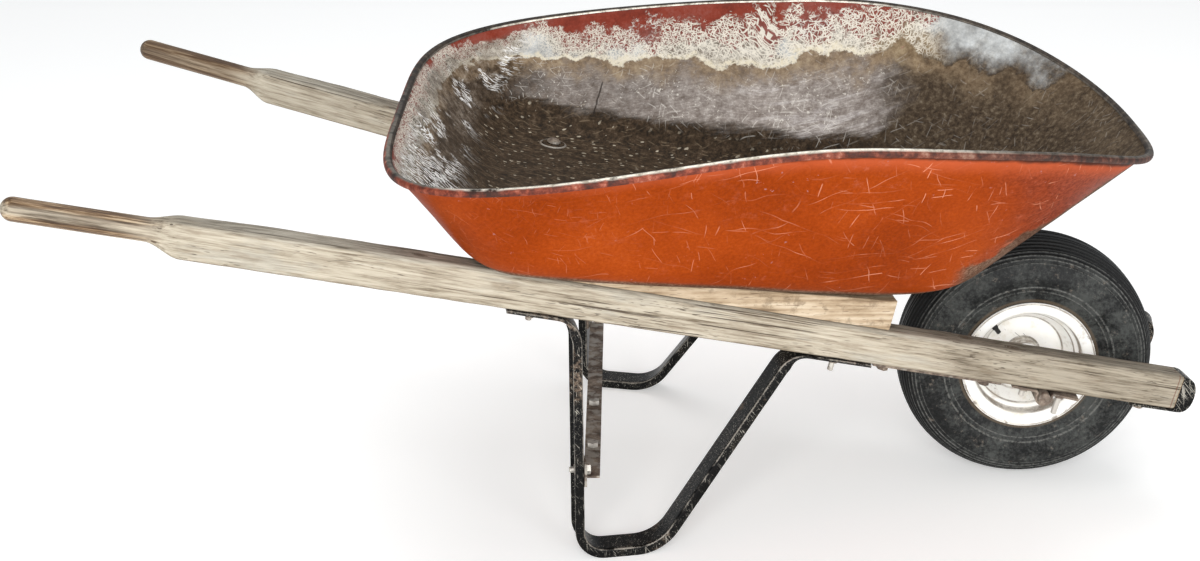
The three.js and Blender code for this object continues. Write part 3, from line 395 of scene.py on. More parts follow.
def tray_inside():
    m = Paint("tray_inside")
    place, h = m.place, m.attribute("wall")
    x, y, _ = m.uv.split()
    fine = place.noise(85, 6, 0.75)
    grit = place.noise(240, 3, 0.7)
    cloud = place.noise(17, 5, 0.65)
    mottle = fine * 0.6 + grit * 0.4
    # dark rust and dirt, olive-brown towards the front
    m.base = mottle.ramp((36, 26, 18, 10), (47, 50, 38, 25), (56, 74, 58, 42), (68, 108, 94, 78))
    m.coat(x.fray(cloud, 0.1).step(0.18, 0.3) * h.step(0.05, 0.3), place.noise(150, 4, 0.7).ramp(
        (36, 50, 39, 28), (50, 74, 60, 45), (62, 98, 84, 67), (75, 134, 122, 104)))
    # a painted reflection of the bright sky on the lower half of the side walls, over grey worn sheet
    foot = x.curve((-60, 60), (-30, 16), (-20, 11.5), (-5, 16), (10, 22), (22, 30),
                   (30, 55))
    flow = m.uv.turned(0.05, (0.11, 0.016, 1)).noise(1.0, 5, 0.72, flat=True)
    brushed = m.uv.turned(0.0, (0.012, 0.0022, 1)).noise(1.0, 4, 0.7, flat=True)
    polish = brushed * 0.3 + place.noise(75, 6, 0.8) * 0.7
    painted_sheen = (h - foot).fray(flow, 0.16).step(-0.01, 0.07) * x.fray(cloud, 0.12).step(0.3, 0.2)
    painted_sheen = painted_sheen * x.fray(cloud, 0.14).step(-0.34, -0.22)
    duller = x.step(-0.26, 0.05, 0.72, 1.0)
    m.coat(painted_sheen * (duller * 0.93), polish.ramp(
        (36, 104, 93, 85), (47, 134, 124, 117), (55, 156, 147, 140), (64, 188, 180, 172),
        (75, 228, 220, 210)))
    # brighter lanes in the painted reflection
    lane = painted_sheen * flow.step(0.5, 0.64) * x.step(-0.02, 0.1)
    m.coat(lane * 0.35, polish.ramp((40, 176, 168, 166), (60, 222, 216, 212)))
    flecks = place.noise(230, 3, 0.6).step(0.6, 0.66) * place.noise(30, 3).step(0.46, 0.58) * painted_sheen
    m.coat(flecks * 0.7, (226, 220, 208))
    # the tide line: rust stain under it, bare pale sheet over it
    tide = x.curve((-60, 74), (-45, 68), (-36, 63), (-20, 54.5), (6, 59), (13, 69),
                   (21.5, 74), (27.5, 82), (32, 80), (38, 80), (45, 88), (49, 97),
                   (53, 112))
    over = (h - tide).fray(m.uv.noise(21, 1.5, 0.5, flat=True), 0.2).fray(fine, 0.12)
    stain = over.step(-0.18, -0.02) * (1.0 - over.step(0.0, 0.01)) * cloud.step(0.3, 0.5, 0.35, 1.0)
    stain = stain * x.step(0.44, 0.26, 0.35, 1.0)
    m.coat(stain * 0.92, fine.fray(cloud, 0.4).ramp(
        (35, 100, 80, 58), (50, 138, 116, 90), (68, 170, 150, 122)))
    bare = over.step(0.0, x.step(0.22, 0.34, 0.015, 0.13)) * x.fray(cloud, 0.1).step(-0.5, -0.4, 0.25, 1.0)
    silver = place.noise(120, 6, 0.85).fray(cloud, 0.3).ramp(
        (38, 92, 80, 66), (46, 140, 130, 117), (53, 180, 172, 160), (63, 228, 220, 204))
    bluish = place.noise(16, 3).step(0.52, 0.62) | x.fray(cloud, 0.08).step(0.3, 0.34)
    m.coat(bare, m.mix(bluish * 0.8, silver, cloud.fray(fine, 0.25).ramp(
        (38, 142, 144, 144), (50, 176, 179, 179), (62, 206, 210, 211))))
    cream = over.band(0.018, 0.012, 0.04) * place.noise(130, 4, 0.7).step(0.38, 0.52, 0.2, 1.0)
    m.coat((cream * 0.85) * (bare * x.step(0.3, 0.22)), (232, 220, 192))
    # a tan cloud in the bare band, ahead of the middle
    tan = x.fray(cloud, 0.1).band(0.27, 0.025, 0.05) * h.fray(cloud, 0.3).band(0.83, 0.04, 0.08)
    m.coat(tan * 0.75, fine.ramp((36, 112, 90, 64), (60, 160, 140, 110)))
    # red paint left under the rim, scribbled through to the sheet
    paint_foot = x.curve((-60, 92), (-52, 87), (-46, 79), (-40, 78), (-30, 90),
                         (-23, 68), (-13, 66), (1, 73), (9, 76), (17, 82), (25, 86),
                         (31, 93), (37, 110))
    above = (h - paint_foot).fray(place.noise(24, 4, 0.7), 0.45).fray(fine, 0.3)
    paint = above.step(-0.03, 0.03)
    ways = ((0.2, 1.0), (0.95, 5.0), (1.6, 8.0), (2.3, 3.3), (2.8, 6.1))
    scribbles = m.strokes([(angle, 13, 0.9, 0.9, seed) for angle, seed in ways], 4.2, 60, 4.5, 4.0)
    bald = above.fray(cloud, 0.5).step(0.34, 0.0, 0.12, 1.0)
    through = scribbles * bald.fray(fine, 1.8).step(0.56, 0.8)
    red = cloud.fray(grit, 0.4).ramp((34, 112, 40, 24), (50, 134, 52, 34), (70, 146, 78, 66))
    red = m.mix(above.step(0.2, 0.03), red, mottle.ramp((40, 110, 56, 46), (60, 150, 98, 90)))
    painted = paint * (1.0 - through)
    m.coat(painted, red)
    white = through * over.step(0.0, 0.03) * above.step(-0.3, -0.02) * x.step(0.36, 0.28)
    m.coat(white * 0.78, (238, 230, 214))
    # pale strokes on the lower walls, and the long dark one
    light = m.strokes(((0.15, 30, 0.9, 0.4, 2.0), (1.1, 18, 0.9, 0.4, 6.0), (2.4, 16, 0.9, 0.4, 9.0)),
                      wander=10, curl=20, room=9)
    light = light * h.step(0.12, 0.2) * (1.0 - paint) * cloud.step(0.4, 0.6) * x.step(0.3, 0.16, 0.35, 0.9)
    m.coat(light * 0.5, (226, 220, 210))
    gouge_lean, gouge_start = 0.095, -0.19
    along = x - (h * gouge_lean + gouge_start)
    gouge = along.fray(fine, 0.004).band(0.0, 0.0007, 0.001) * h.band(0.26, 0.12, 0.02) * y.step(0.0, 0.01)
    m.coat(gouge * 0.85, (44, 36, 30))
    # white streaks that run down the rear end: worn streaks, with a painted reflection of the sky on them
    rear = x.fray(cloud, 0.1).step(-0.3, -0.38) * h.step(0.93, 0.84) * h.step(0.06, 0.2)
    streaks = m.strokes(((0.06, 26, 1.6, 0.75, 1.5), (-0.12, 18, 1.3, 0.75, 4.5), (0.25, 22, 1.3, 0.75, 7.5)),
                        wander=10, curl=30, room=4, strength=4.0)
    clumps = place.noise(22, 3).fray(fine, 0.3).fray(y.step(0.1, -0.16), 0.22).step(0.4, 0.52)
    m.coat(rear * cloud.step(0.38, 0.62, 0.2, 0.75), fine.ramp(
        (38, 72, 59, 46), (52, 112, 98, 84), (68, 160, 149, 136)))
    m.coat(rear * streaks * clumps, (246, 244, 240))
    # short strokes and pale grains on the floor
    lines = m.strokes(((0.1, 22, 0.9, 0.55, 3.0), (-0.35, 15, 0.9, 0.55, 5.2)), wander=8, curl=24, room=7)
    lines = lines * h.fray(cloud, 0.1).step(0.2, 0.08) * fine.step(0.36, 0.52, 0.3, 1.0)
    m.coat(lines * 0.45, (142, 124, 100))
    laid = m.uv.stirred(0.004, place, 180).turned(0.15, (0.01, 0.0052, 1))
    _, colour, distance = laid.cells()
    size = colour.split()[0].step(0.8, 1.0, 0.02, 0.3)
    grain = (distance - size).step(0.03, -0.05) * size.step(0.03, 0.06) * h.fray(cloud, 0.3).step(0.22, 0.06)
    m.coat(grain * fine.step(0.36, 0.6, 0.35, 0.95), (200, 188, 166))
    rough = m.blend(bare | paint, 0.7, 0.5)
    rough = m.blend(painted_sheen * (1.0 - bare), rough, 0.44).fray(grit, 0.25)
    metal = painted_sheen * (1.0 - (stain | bare | paint)) * (duller * 0.45)
    height = mottle + painted * 0.7 + grain * 0.8
    return m.done(rough, metal=metal, specular=0.16, bump=(height, 0.35, 0.0012))


def tray_rim():
    m = Paint("tray_rim")
    place, roll = m.place, m.attribute("roll")
    x, y, _ = m.uv.split()
    fine = place.noise(90, 5, 0.7)
    cloud = place.noise(22, 4, 0.6)
    m.base = fine.fray(cloud, 0.5).ramp((34, 26, 20, 15), (50, 46, 37, 29), (64, 74, 63, 52), (80, 120, 108, 93))
    # worn bright where hands and shovels rub
    right_rub, left_rub = roll.fray(cloud, 0.1).band(0.47, 0.12, 0.06), roll.fray(cloud, 0.06).band(0.09, 0.04, 0.05)
    rub = m.blend(y.step(-0.1, 0.1), right_rub, left_rub) * cloud.fray(fine, 0.3).step(0.3, 0.42)
    rub = rub * x.fray(cloud, 0.1).step(0.36, 0.16, 0.1, 1.0) * x.fray(cloud, 0.06).step(-0.47, -0.4, 0.15, 1.0)
    m.coat(rub * 0.92, fine.ramp((35, 160, 150, 134), (55, 238, 231, 216)))
    red = roll.fray(fine, 0.3).step(0.5, 0.62) * cloud.step(0.34, 0.5, 0.5, 1.0) * x.step(0.34, 0.0, 0.3, 1.0)
    m.coat(red * 0.9, fine.fray(cloud, 0.8).ramp(
        (34, 62, 26, 16), (48, 104, 40, 22), (62, 148, 72, 50), (72, 176, 120, 100)))
    return m.done(0.62 - rub * 0.25, metal=rub * 0.35, specular=0.3, bump=(fine, 0.4, 0.0012))


def old_wood():
    """Weathered timber: streaks along the grain, grey on top, dark checks, brown where hands hold it."""
    m = Paint("handle_wood")
    grain = m.attribute("grain", "Vector")
    along, across, up = grain.split()
    drift = grain.stirred(0.004, grain.stretched(4, 30, 30), 1.0)
    streak = drift.stretched(6.5, 170, 170).noise(1.0, 5, 0.65)
    fine = drift.stretched(20, 430, 430).noise(1.0, 4, 0.7)
    cloud = grain.stretched(9, 26, 26).noise(1.0, 4)
    tone = streak * 0.32 + fine * 0.44 + cloud * 0.24
    side = tone.ramp((39, 104, 92, 76), (45, 148, 137, 119), (51, 174, 164, 146), (62, 198, 189, 171))
    top = tone.ramp((39, 84, 77, 66), (45, 126, 119, 106), (52, 158, 151, 137), (62, 186, 179, 164))
    greyed = up.fray(cloud, 0.016).step(0.0165, 0.0215) | cloud.fray(streak, 0.4).step(0.56, 0.68)
    m.base = m.mix(greyed * 0.9, side, top)
    fore = along.fray(cloud, 0.2).step(0.44, 0.24)
    m.coat(fore * 0.7, tone.ramp((41, 60, 51, 41), (46, 110, 100, 85), (56, 150, 140, 123)))
    m.coat(grain.stretched(14, 60, 60).noise(1.0, 4, 0.6).step(0.56, 0.7) * 0.45, (128, 112, 92))
    # long splits, short dark dashes and knots
    split = drift.stretched(3.2, 250, 250).noise(1.0, 1.5, 0.5).step(0.655, 0.685)
    split = split * grain.stretched(8, 24, 24).noise(1.0, 2).step(0.44, 0.56)
    dashes = drift.stretched(60, 620, 620).noise(1.0, 1, 0.5).step(0.63, 0.69)
    dashes = dashes * grain.stretched(10, 40, 40).noise(1.0, 2).step(0.46, 0.58)
    dark = split | dashes * 0.85
    m.coat(dark * 0.85, (62, 50, 39))
    knot = m.attribute("knot")
    m.coat(knot.step(0.25, 0.8) * 0.75, (112, 98, 80))
    rings = abs(m.math("SINE", knot * 16.0))
    m.coat(rings * knot.step(0.12, 0.4) * fine.step(0.35, 0.55), (86, 72, 58))
    m.coat(up.step(-0.0195, -0.0228) * 0.55, (92, 76, 60))
    # the grips
    held = along.fray(grain.stretched(12, 40, 40).noise(1.0, 3), 0.08).step(1.285, 1.345)
    left = across.step(-1.0, 1.0)
    # a painted highlight: a pale stripe along each grip, a little above its middle, where the brown is left off
    painted_sheen = up.fray(cloud, 0.012).band(0.004, 0.002, 0.007) * m.blend(left, 0.75, 0.35)
    m.coat(held * (1.0 - painted_sheen), tone.fray(streak, 0.5).ramp(
        (38, 54, 37, 24), (46, 92, 69, 47), (52, 128, 103, 76), (60, 186, 164, 134)))
    m.coat(held * left * cloud.step(0.36, 0.56, 0.35, 0.6), (72, 52, 34))
    # the sawn front end
    m.coat(along.step(0.0022, 0.0008) * 0.8, grain.noise(240, 4).ramp((35, 120, 88, 66), (60, 188, 166, 136)))
    seam = along.fray(fine, 0.002).band(0.0062, 0.0003, 0.0008) * cloud.step(0.4, 0.46)
    m.coat(seam * 0.7, (104, 62, 46))
    rough = m.blend(held, tone * 0.2 + 0.7, streak * 0.2 + 0.34)
    height = streak * 0.5 + fine * 0.5 - dark * 0.9
    return m.done(rough, specular=0.25, bump=(height, 0.6, 0.0014))


def plain_wood():
    """Paler timber of the wedges, with its grain along the handle; it needs no attribute."""
    m = Paint("wedge_wood")
    laid = m.place.turned((0, 0.06, 0.17))
    streak = laid.stretched(5, 120, 190).noise(1.0, 5, 0.65)
    cloud = laid.stretched(12, 40, 50).noise(1.0, 5, 0.65)
    m.base = (streak * 0.5 + cloud * 0.5).ramp(
        (40, 120, 100, 78), (46, 158, 137, 110), (53, 182, 162, 136), (62, 202, 186, 162))
    m.coat(m.place.noise(45, 5, 0.7).step(0.54, 0.66) * 0.6, (122, 104, 82))
    dashes = laid.stretched(60, 500, 700).noise(1.0, 1, 0.5).step(0.68, 0.72)
    m.coat(dashes * 0.7, (92, 72, 54))
    return m.done(0.78, specular=0.25, bump=(streak - dashes * 0.6, 0.5, 0.001))


def black_paint(name="black_paint", bright=0.0):
    m = Paint(name)
    place = m.place
    fine = place.noise(150, 5, 0.75)
    cloud = place.noise(26, 5, 0.65)
    m.base = cloud.fray(fine, 0.4).ramp((36, 4, 4, 4), (52, 10, 10, 10), (64, 27, 25, 22), (78, 62, 56, 48))
    rub = m.attribute("edge").fray(fine, 1.1).step(0.62, 0.95) * cloud.fray(fine, 0.3).step(0.4, 0.56)
    high = place.split()[2].step(0.14, 0.26)
    rust = place.noise(15, 5, 0.7).fray(high, 0.16).step(0.54, 0.62) * fine.step(0.42, 0.56)
    m.coat(rust * 0.8, fine.ramp((40, 60, 49, 40), (55, 104, 89, 76), (70, 142, 127, 111)))
    lies = (((0.0, 0.9, 0.2), (0.03, 0.0012, 0.0012)), ((0.2, 0.1, 1.2), (0.022, 0.0012, 0.0012)),
            ((0.0, 1.5, 0.1), (0.035, 0.0014, 0.0014)))
    low, high = 0.68 - 0.06 * bright, 0.73 - 0.06 * bright
    nick = any_of(place.turned(*lie).noise(1.0, 1, 0.5).step(low, high) for lie in lies) * cloud.step(0.36, 0.56)
    m.coat(nick * 0.85, (176, 171, 160))
    m.coat(rub * 0.8, (158, 152, 142))
    rough = (rust | fine * 0.5) * 0.42 + 0.24
    height = fine * 0.7 - nick * 0.5
    return m.done(rough, metal=rub * 0.4, specular=0.12, bump=(height, 0.35, 0.0008))


def rusty_steel(name="rusty_steel", bright=0.0):
    m = Paint(name)
    fine = m.place.noise(170, 5, 0.75)
    m.base = (m.place.noise(40, 4) * 0.55 + fine * 0.45).ramp(
        (36, 56, 46, 38), (47, 94, 80, 69), (56, 130, 116, 102), (70, 164, 152, 138))
    grey = m.place.noise(60, 4).step(0.58 - 0.32 * bright, 0.68 - 0.22 * bright)
    m.coat(grey * (0.55 + 0.4 * bright), (158 + 60 * bright, 152 + 62 * bright, 142 + 64 * bright))
    return m.done(0.78 - grey * (0.2 + 0.2 * bright), metal=grey * (0.3 + 0.5 * bright), bump=(fine, 0.5, 0.0006))


def wheel_radius(m):
    """Distance from the axle's line, and place along it, in metres."""
    x, y, z = m.vector("SUBTRACT", m.place, tuple((AXLE * MM).tolist())).split()
    return m.math("SQRT", x * x + z * z), y


def wheel_paint():
    m = Paint("wheel_paint")
    place = m.place
    radius, _ = wheel_radius(m)
    fine = place.noise(110, 6, 0.7)
    cloud = place.noise(28, 4, 0.6)
    m.base = cloud.fray(fine, 0.3).ramp((32, 232, 226, 212), (44, 250, 248, 242), (70, 254, 254, 251))
    # grime, and painted shade, in the steps of the dish
    folds = ((0.0868, 0.0003, 0.0013), (0.0712, 0.0004, 0.0016), (0.0646, 0.0002, 0.001), (0.0528, 0.0003, 0.0015),
             (0.0226, 0.0008, 0.001))
    grime_and_shade = any_of(radius.band(*fold) for fold in folds) * cloud.fray(fine, 0.8).step(0.32, 0.62, 0.35, 1.0)
    m.coat(grime_and_shade * 0.8, (112, 92, 70))
    stain = cloud.fray(fine, 0.5).step(0.6, 0.78)
    m.coat(stain * 0.45, (176, 158, 132))
    nicks = place.turned((0, 0.7, 0), (0.014, 0.002, 0.0016)).noise(1.0, 1, 0.5).step(0.7, 0.74)
    spots = place.noise(150, 3, 0.55).step(0.685, 0.71)
    marks = (nicks | spots) * place.noise(24, 2).step(0.5, 0.6)
    m.coat(marks * 0.85, (84, 72, 60))
    lip = radius.step(0.0825, 0.087) * place.noise(30, 5, 0.7).step(0.57, 0.62)
    m.coat(lip * 0.8, (118, 106, 94))
    rough = (grime_and_shade | stain | marks) * 0.3 + 0.42
    return m.done(rough, specular=0.4, bump=(fine - marks, 0.18, 0.0006))


def tyre_rubber():
    m = Paint("tyre_rubber")
    place, groove = m.place, m.attribute("groove")
    radius, y = wheel_radius(m)
    fine = place.noise(210, 5, 0.75)
    cloud = place.noise(55, 6, 0.7)
    wall = radius.step(0.155, 0.146) * abs(y).step(0.034, 0.042)
    m.base = fine.ramp((36, 10, 11, 11), (52, 22, 23, 23), (68, 40, 41, 40))
    dust = place.noise(14, 3, 0.5).fray(cloud, 0.9).fray(fine, 0.7).step(0.34, 0.78) * (wall * 0.46 + 0.05)
    m.coat(dust, (90, 92, 89))
    brown = wall * place.noise(60, 6, 0.8).fray(fine, 0.5).step(0.58, 0.72)
    m.coat(brown * 0.55, (128, 116, 104))
    # painted shade: the grooves darkened to black by their depth
    m.coat(groove.step(0.1, 0.8), (6, 6, 6))
    m.coat(radius.band(0.0905, 0.001, 0.0025) * 0.55, (104, 88, 70))
    # painted highlights: light grey on the tops of the raised rings
    m.coat(groove.step(-0.02, -0.45) * fine.step(0.36, 0.6) * 0.7, (112, 112, 108))
    height = fine * 0.7 + place.noise(600, 2) * 0.3
    rough = (dust | brown) * 0.35 + 0.5
    return m.done(rough, specular=0.2, bump=(height, 0.35, 0.0008))


def plain_rubber():
    m = Paint("plain_rubber")
    fine = m.place.noise(160, 4)
    m.base = fine.ramp((30, 24, 24, 25), (70, 52, 51, 50))
    return m.done(0.7, bump=(fine, 0.2, 0.0005))


# ---- tray
TRAY_PLACE = np.array([108.2186, 0, 342.376])
TRAY_SLOPE = math.radians(8.15)
SHEET = 2.0
FLOOR = dict(rear=314, front=307, half=245.0, rear_taper=0.32, front_taper=0.29, rear_power=7.4, front_power=4.2)
RIM = dict(rear=490, front=435, half=341, rear_taper=0.22, front_taper=0.08, rear_power=4.4, front_power=2.75)
RIM_FORWARD, RIM_HEIGHT, RIM_FRONT_LIFT, RIM_SAG, RIM_NOSE_DROP = 63, 230, 91, 75, 35
CORNER_BLEND, ROLL_RADIUS, ROLL_TURN = 41, 4.5, 1.25 * np.pi
BEND_TOP = 0.14  # share of the wall's height at which the floor's bend ends
TRAY_COLUMNS, BEND_RINGS, WALL_RINGS, ROLL_RINGS = 360, 10, 26, 15
FLOOR_RINGS = (0.06, 0.2, 0.35, 0.5, 0.64, 0.77, 0.88, 0.95)
OUTSIDE, INSIDE, EDGE = range(3)


def outline(form, c, s):
    """Points of a floor or rim outline, and their share of its length, for a direction's cosine and sine."""
    power = np.where(c < 0, form["rear_power"], form["front_power"])
    reach = np.where(c < 0, form["rear"], form["front"])
    t = np.sign(c) * np.abs(c) ** (2 / power)
    half = form["half"] * (1 - np.where(t < 0, form["rear_taper"], form["front_taper"]) * t)
    y = half * np.sign(s) * np.abs(s) ** (2 / power)
    return np.stack([reach * t, y], -1), t


def even_directions(count):
    """Cosines and sines that space the tray's columns evenly along its floor and rim."""
    t = np.linspace(0, 1, 3000)
    powers = [form[key] for key in ("rear_power", "front_power") for form in (FLOOR, RIM)]
    cosines = [t**(p / 2) for p in powers] + [np.sqrt(np.clip(1 - (t**(p / 2)) ** 2, 0, 1)) for p in powers]
    c = np.unique(np.concatenate(cosines))
    s = np.sqrt(np.clip(1 - c * c, 0, 1))
    c = np.concatenate([c[::-1], -c[1:], -c[::-1][1:], c[1:-1]])
    s = np.concatenate([s[::-1], s[1:], -s[::-1][1:], -s[1:-1]])
    edges = outline(FLOOR, c, s)[0], outline(RIM, c, s)[0]
    length = sum(np.linalg.norm(np.diff(np.vstack([e, e[:1]]), axis=0), axis=1) for e in edges)
    total = np.concatenate([[0], np.cumsum(length)])
    picks = np.searchsorted(total[:-1], (np.arange(count) + 0.5) * total[-1] / count)
    picks = np.clip(picks, 0, len(c) - 1)
    return c[picks], s[picks]


def tray_columns():
    """The sheet's middle surface by rings and columns, each ring's wall height and roll, and the way out."""
    c, s = even_directions(TRAY_COLUMNS)
    low, _ = outline(FLOOR, c, s)
    high, t = outline(RIM, c, s)
    rise = RIM_HEIGHT + RIM_FRONT_LIFT * t - RIM_SAG * t**2 - RIM_NOSE_DROP * t**3
    floor_edge = np.column_stack([low, np.zeros(len(low))])
    rim_edge = np.column_stack([high[:, 0] + RIM_FORWARD, high[:, 1], rise])
    wall = rim_edge - floor_edge
    wall /= np.linalg.norm(wall, axis=1)[:, None]
    way_out = wall * [1, 1, 0]
    way_out /= np.linalg.norm(way_out, axis=1)[:, None]
    bend_share = np.arange(BEND_RINGS) / (BEND_RINGS - 1)
    wall_share = np.linspace(0, 1, WALL_RINGS)[1:]
    roll_share = np.linspace(0, 1, ROLL_RINGS)[1:]
    middle = [floor_edge - way_out * CORNER_BLEND * (1 - u) ** 2 + wall * CORNER_BLEND * u**2 for u in bend_share]
    middle += [(floor_edge + wall * CORNER_BLEND) * (1 - u) + rim_edge * u for u in wall_share]
    for turn in roll_share * ROLL_TURN:
        point = rim_edge + way_out * ROLL_RADIUS * (1 - np.cos(turn))
        middle.append(point + [0, 0, ROLL_RADIUS * np.sin(turn)])
    heights = np.concatenate([(BEND_TOP + 0.02) * bend_share - 0.02, BEND_TOP + (1 - BEND_TOP) * wall_share,
                              np.ones(len(roll_share))])
    rolls = np.concatenate([np.zeros(len(bend_share) + len(wall_share)), roll_share])
    return np.array(middle), heights, rolls, way_out


def tray_to_world(points):
    c, s = math.cos(TRAY_SLOPE), math.sin(TRAY_SLOPE)
    x, y, z = points[..., 0], points[..., 1], points[..., 2]
    return np.stack([c * x + s * z, y, c * z - s * x], -1) + TRAY_PLACE


def build_tray(materials):
    middle, heights, rolls, way_out = tray_columns()
    # rings that carry the flat floor in to its middle
    inner_rings = np.array([middle[0] * [f, f, 1.0] for f in FLOOR_RINGS])
    middle = np.concatenate([inner_rings, middle])
    heights = np.concatenate([np.linspace(-0.5, -0.05, len(FLOOR_RINGS)), heights])
    rolls = np.concatenate([np.zeros(len(FLOOR_RINGS)), rolls])
    levels, count = middle.shape[:2]
    # use has bent the rim down, most of all on the right-hand side
    x, y = middle[..., 0], middle[..., 1]
    drop = 8.5 * np.exp(-((x + 130) / 260) ** 2) + 10.5 * np.exp(-((x - 230) / 150) ** 2)
    drop *= np.where(y < 0, 1.0, 0.25) * np.clip(np.abs(y) / 200, 0, 1) ** 2
    middle[..., 2] -= drop * (np.clip(heights, 0, 1) ** 1.5)[:, None]
    around = np.roll(middle, -1, axis=1) - np.roll(middle, 1, axis=1)
    along = np.zeros_like(middle)
    along[1:-1] = middle[2:] - middle[:-2]
    along[0], along[-1] = middle[1] - middle[0], middle[-1] - middle[-2]
    normal = np.cross(around, along)
    normal /= np.linalg.norm(normal, axis=-1)[..., None]
    if (normal[levels // 2] * way_out).sum() < 0:
        normal = -normal
    normal[:len(FLOOR_RINGS) + 1] = (0, 0, -1)
    # a pressed sheet is never quite true
    flat = middle.reshape(-1, 3)
    waves = 0.55 * wave_noise(3, flat, 190, 2) + 0.14 * wave_noise(4, flat, 34, 2)
    calm = np.clip((heights - 0.12) / 0.12, 0, 1) * np.clip((0.97 - heights) / 0.1, 0, 1)
    middle = middle + normal * (waves.reshape(levels, count) * calm[:, None])[..., None]
    rings = np.concatenate([middle + normal * SHEET / 2, (middle - normal * SHEET / 2)[::-1]])
    # the flat map: the sheet seen from above up to its bend, then unrolled outwards
    flat_map = middle[..., :2].copy()
    wall_from = int(np.argmax(heights >= BEND_TOP))
    for i in range(wall_from, levels):
        flat_map[i] = middle[wall_from][:, :2] + way_out[:, :2] * (heights[i] - BEND_TOP) * RIM_HEIGHT
    uv = np.concatenate([flat_map.reshape(-1, 2), flat_map[::-1].reshape(-1, 2), [[0, 0], [0, 0]]]) * MM
    # the two sides end at a point each, in the middle of the floor
    hub = 2 * levels * count
    points = np.vstack([rings.reshape(-1, 3) + [0, 0, SHEET / 2], [0, 0, 0], [0, 0, SHEET]])
    faces = grid_faces(2 * levels, count)
    rim_from = int(np.argmax(rolls > 0)) - 1
    zone = []
    for i in range(2 * levels - 1):
        at_edge = min(i, 2 * levels - 2 - i) >= rim_from
        zone += [EDGE if at_edge else (OUTSIDE if i < levels else INSIDE)] * count
    for j in range(count):
        k = (j + 1) % count
        faces += [[hub, k, j], [hub + 1, hub - count + j, hub - count + k]]
        zone += [OUTSIDE, INSIDE]
    wall, roll = (np.concatenate([np.repeat(v, count), np.repeat(v[::-1], count), [end, end]])
                  for v, end in ((heights, -0.55), (rolls, 0)))
    low, high = (np.array(v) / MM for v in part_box("tray"))
    world = np.clip(tray_to_world(points), low, high)
    make("tray_sheet", world, faces, materials, replaces=["tray"],
         face_material=zone, uv=uv, scalars={"wall": wall, "roll": roll}, sharp=60)


# ---- handles
RISE, SPREAD = math.radians(12.67), math.radians(9.96)
HANDLE_START = np.array([696.7868, 99.2, 160.4262])
HANDLE_LENGTH, HANDLE_WIDTH, HANDLE_HEIGHT, HANDLE_EDGE = 1476.0, 35.5, 46.7, 4.0
GRIP_DIAMETER, GRIP_LENGTH, GRIP_SHOULDER, GRIP_LIFT = 29.0, 162.0, 42.0, 2.0
GRIP_START, GRIP_RADIUS = HANDLE_LENGTH - GRIP_LENGTH, GRIP_DIAMETER / 2
SAWN_EDGE, SAWN_TRIM, TIP_ANGLE = 2.0, 1.2, 1.42
TOP_WEAR, TOP_WEAR_RUN = 2.6, 110
TOP, UNDER = HANDLE_HEIGHT / 2, -HANDLE_HEIGHT / 2
# each knot's place along, across and up, and its size
KNOTS = {-1: [(238, 6, 23, 9), (300, -4, 23, 8), (1000, 3, 23, 7), (1120, -15, 8, 9)],
         1: [(520, 4, 23, 9), (990, -3, 23, 8), (1210, 10, 15, 8)]}


def handle_to_world(points, sign):
    """From a handle's frame (back along it, outward, up) to the row frame."""
    back = np.array([-math.cos(RISE) * math.cos(SPREAD), math.cos(RISE) * math.sin(SPREAD), math.sin(RISE)])
    up = np.array([math.sin(RISE) * math.cos(SPREAD), -math.sin(RISE) * math.sin(SPREAD), math.cos(RISE)])
    out = np.cross(back, up)
    if out[1] < 0:
        out = -out
    world = HANDLE_START + points[:, :1] * back + points[:, 1:2] * out + points[:, 2:3] * up
    return world * [1, sign, 1]


def rounded_rectangle(width, height, radius, corner_steps=5, flat_steps=5):
    """Points round a rectangle: each corner's bend, then the flat that leads to the next corner."""
    x, y = width / 2 - radius, height / 2 - radius
    centres = ((x, y), (-x, y), (-x, -y), (x, -y))

    def bend_point(corner, quarters):
        angle = quarters * math.pi / 2
        cx, cy = centres[corner % 4]
        return np.array([cx + radius * math.cos(angle), cy + radius * math.sin(angle)])

    points = []
    for corner in range(4):
        points += [bend_point(corner, corner + i / corner_steps) for i in range(corner_steps + 1)]
        start, stop = points[-1], bend_point(corner + 1, corner + 1)
        points += [start * (1 - k / flat_steps) + stop * (k / flat_steps) for k in range(1, flat_steps)]
    return np.array(points)


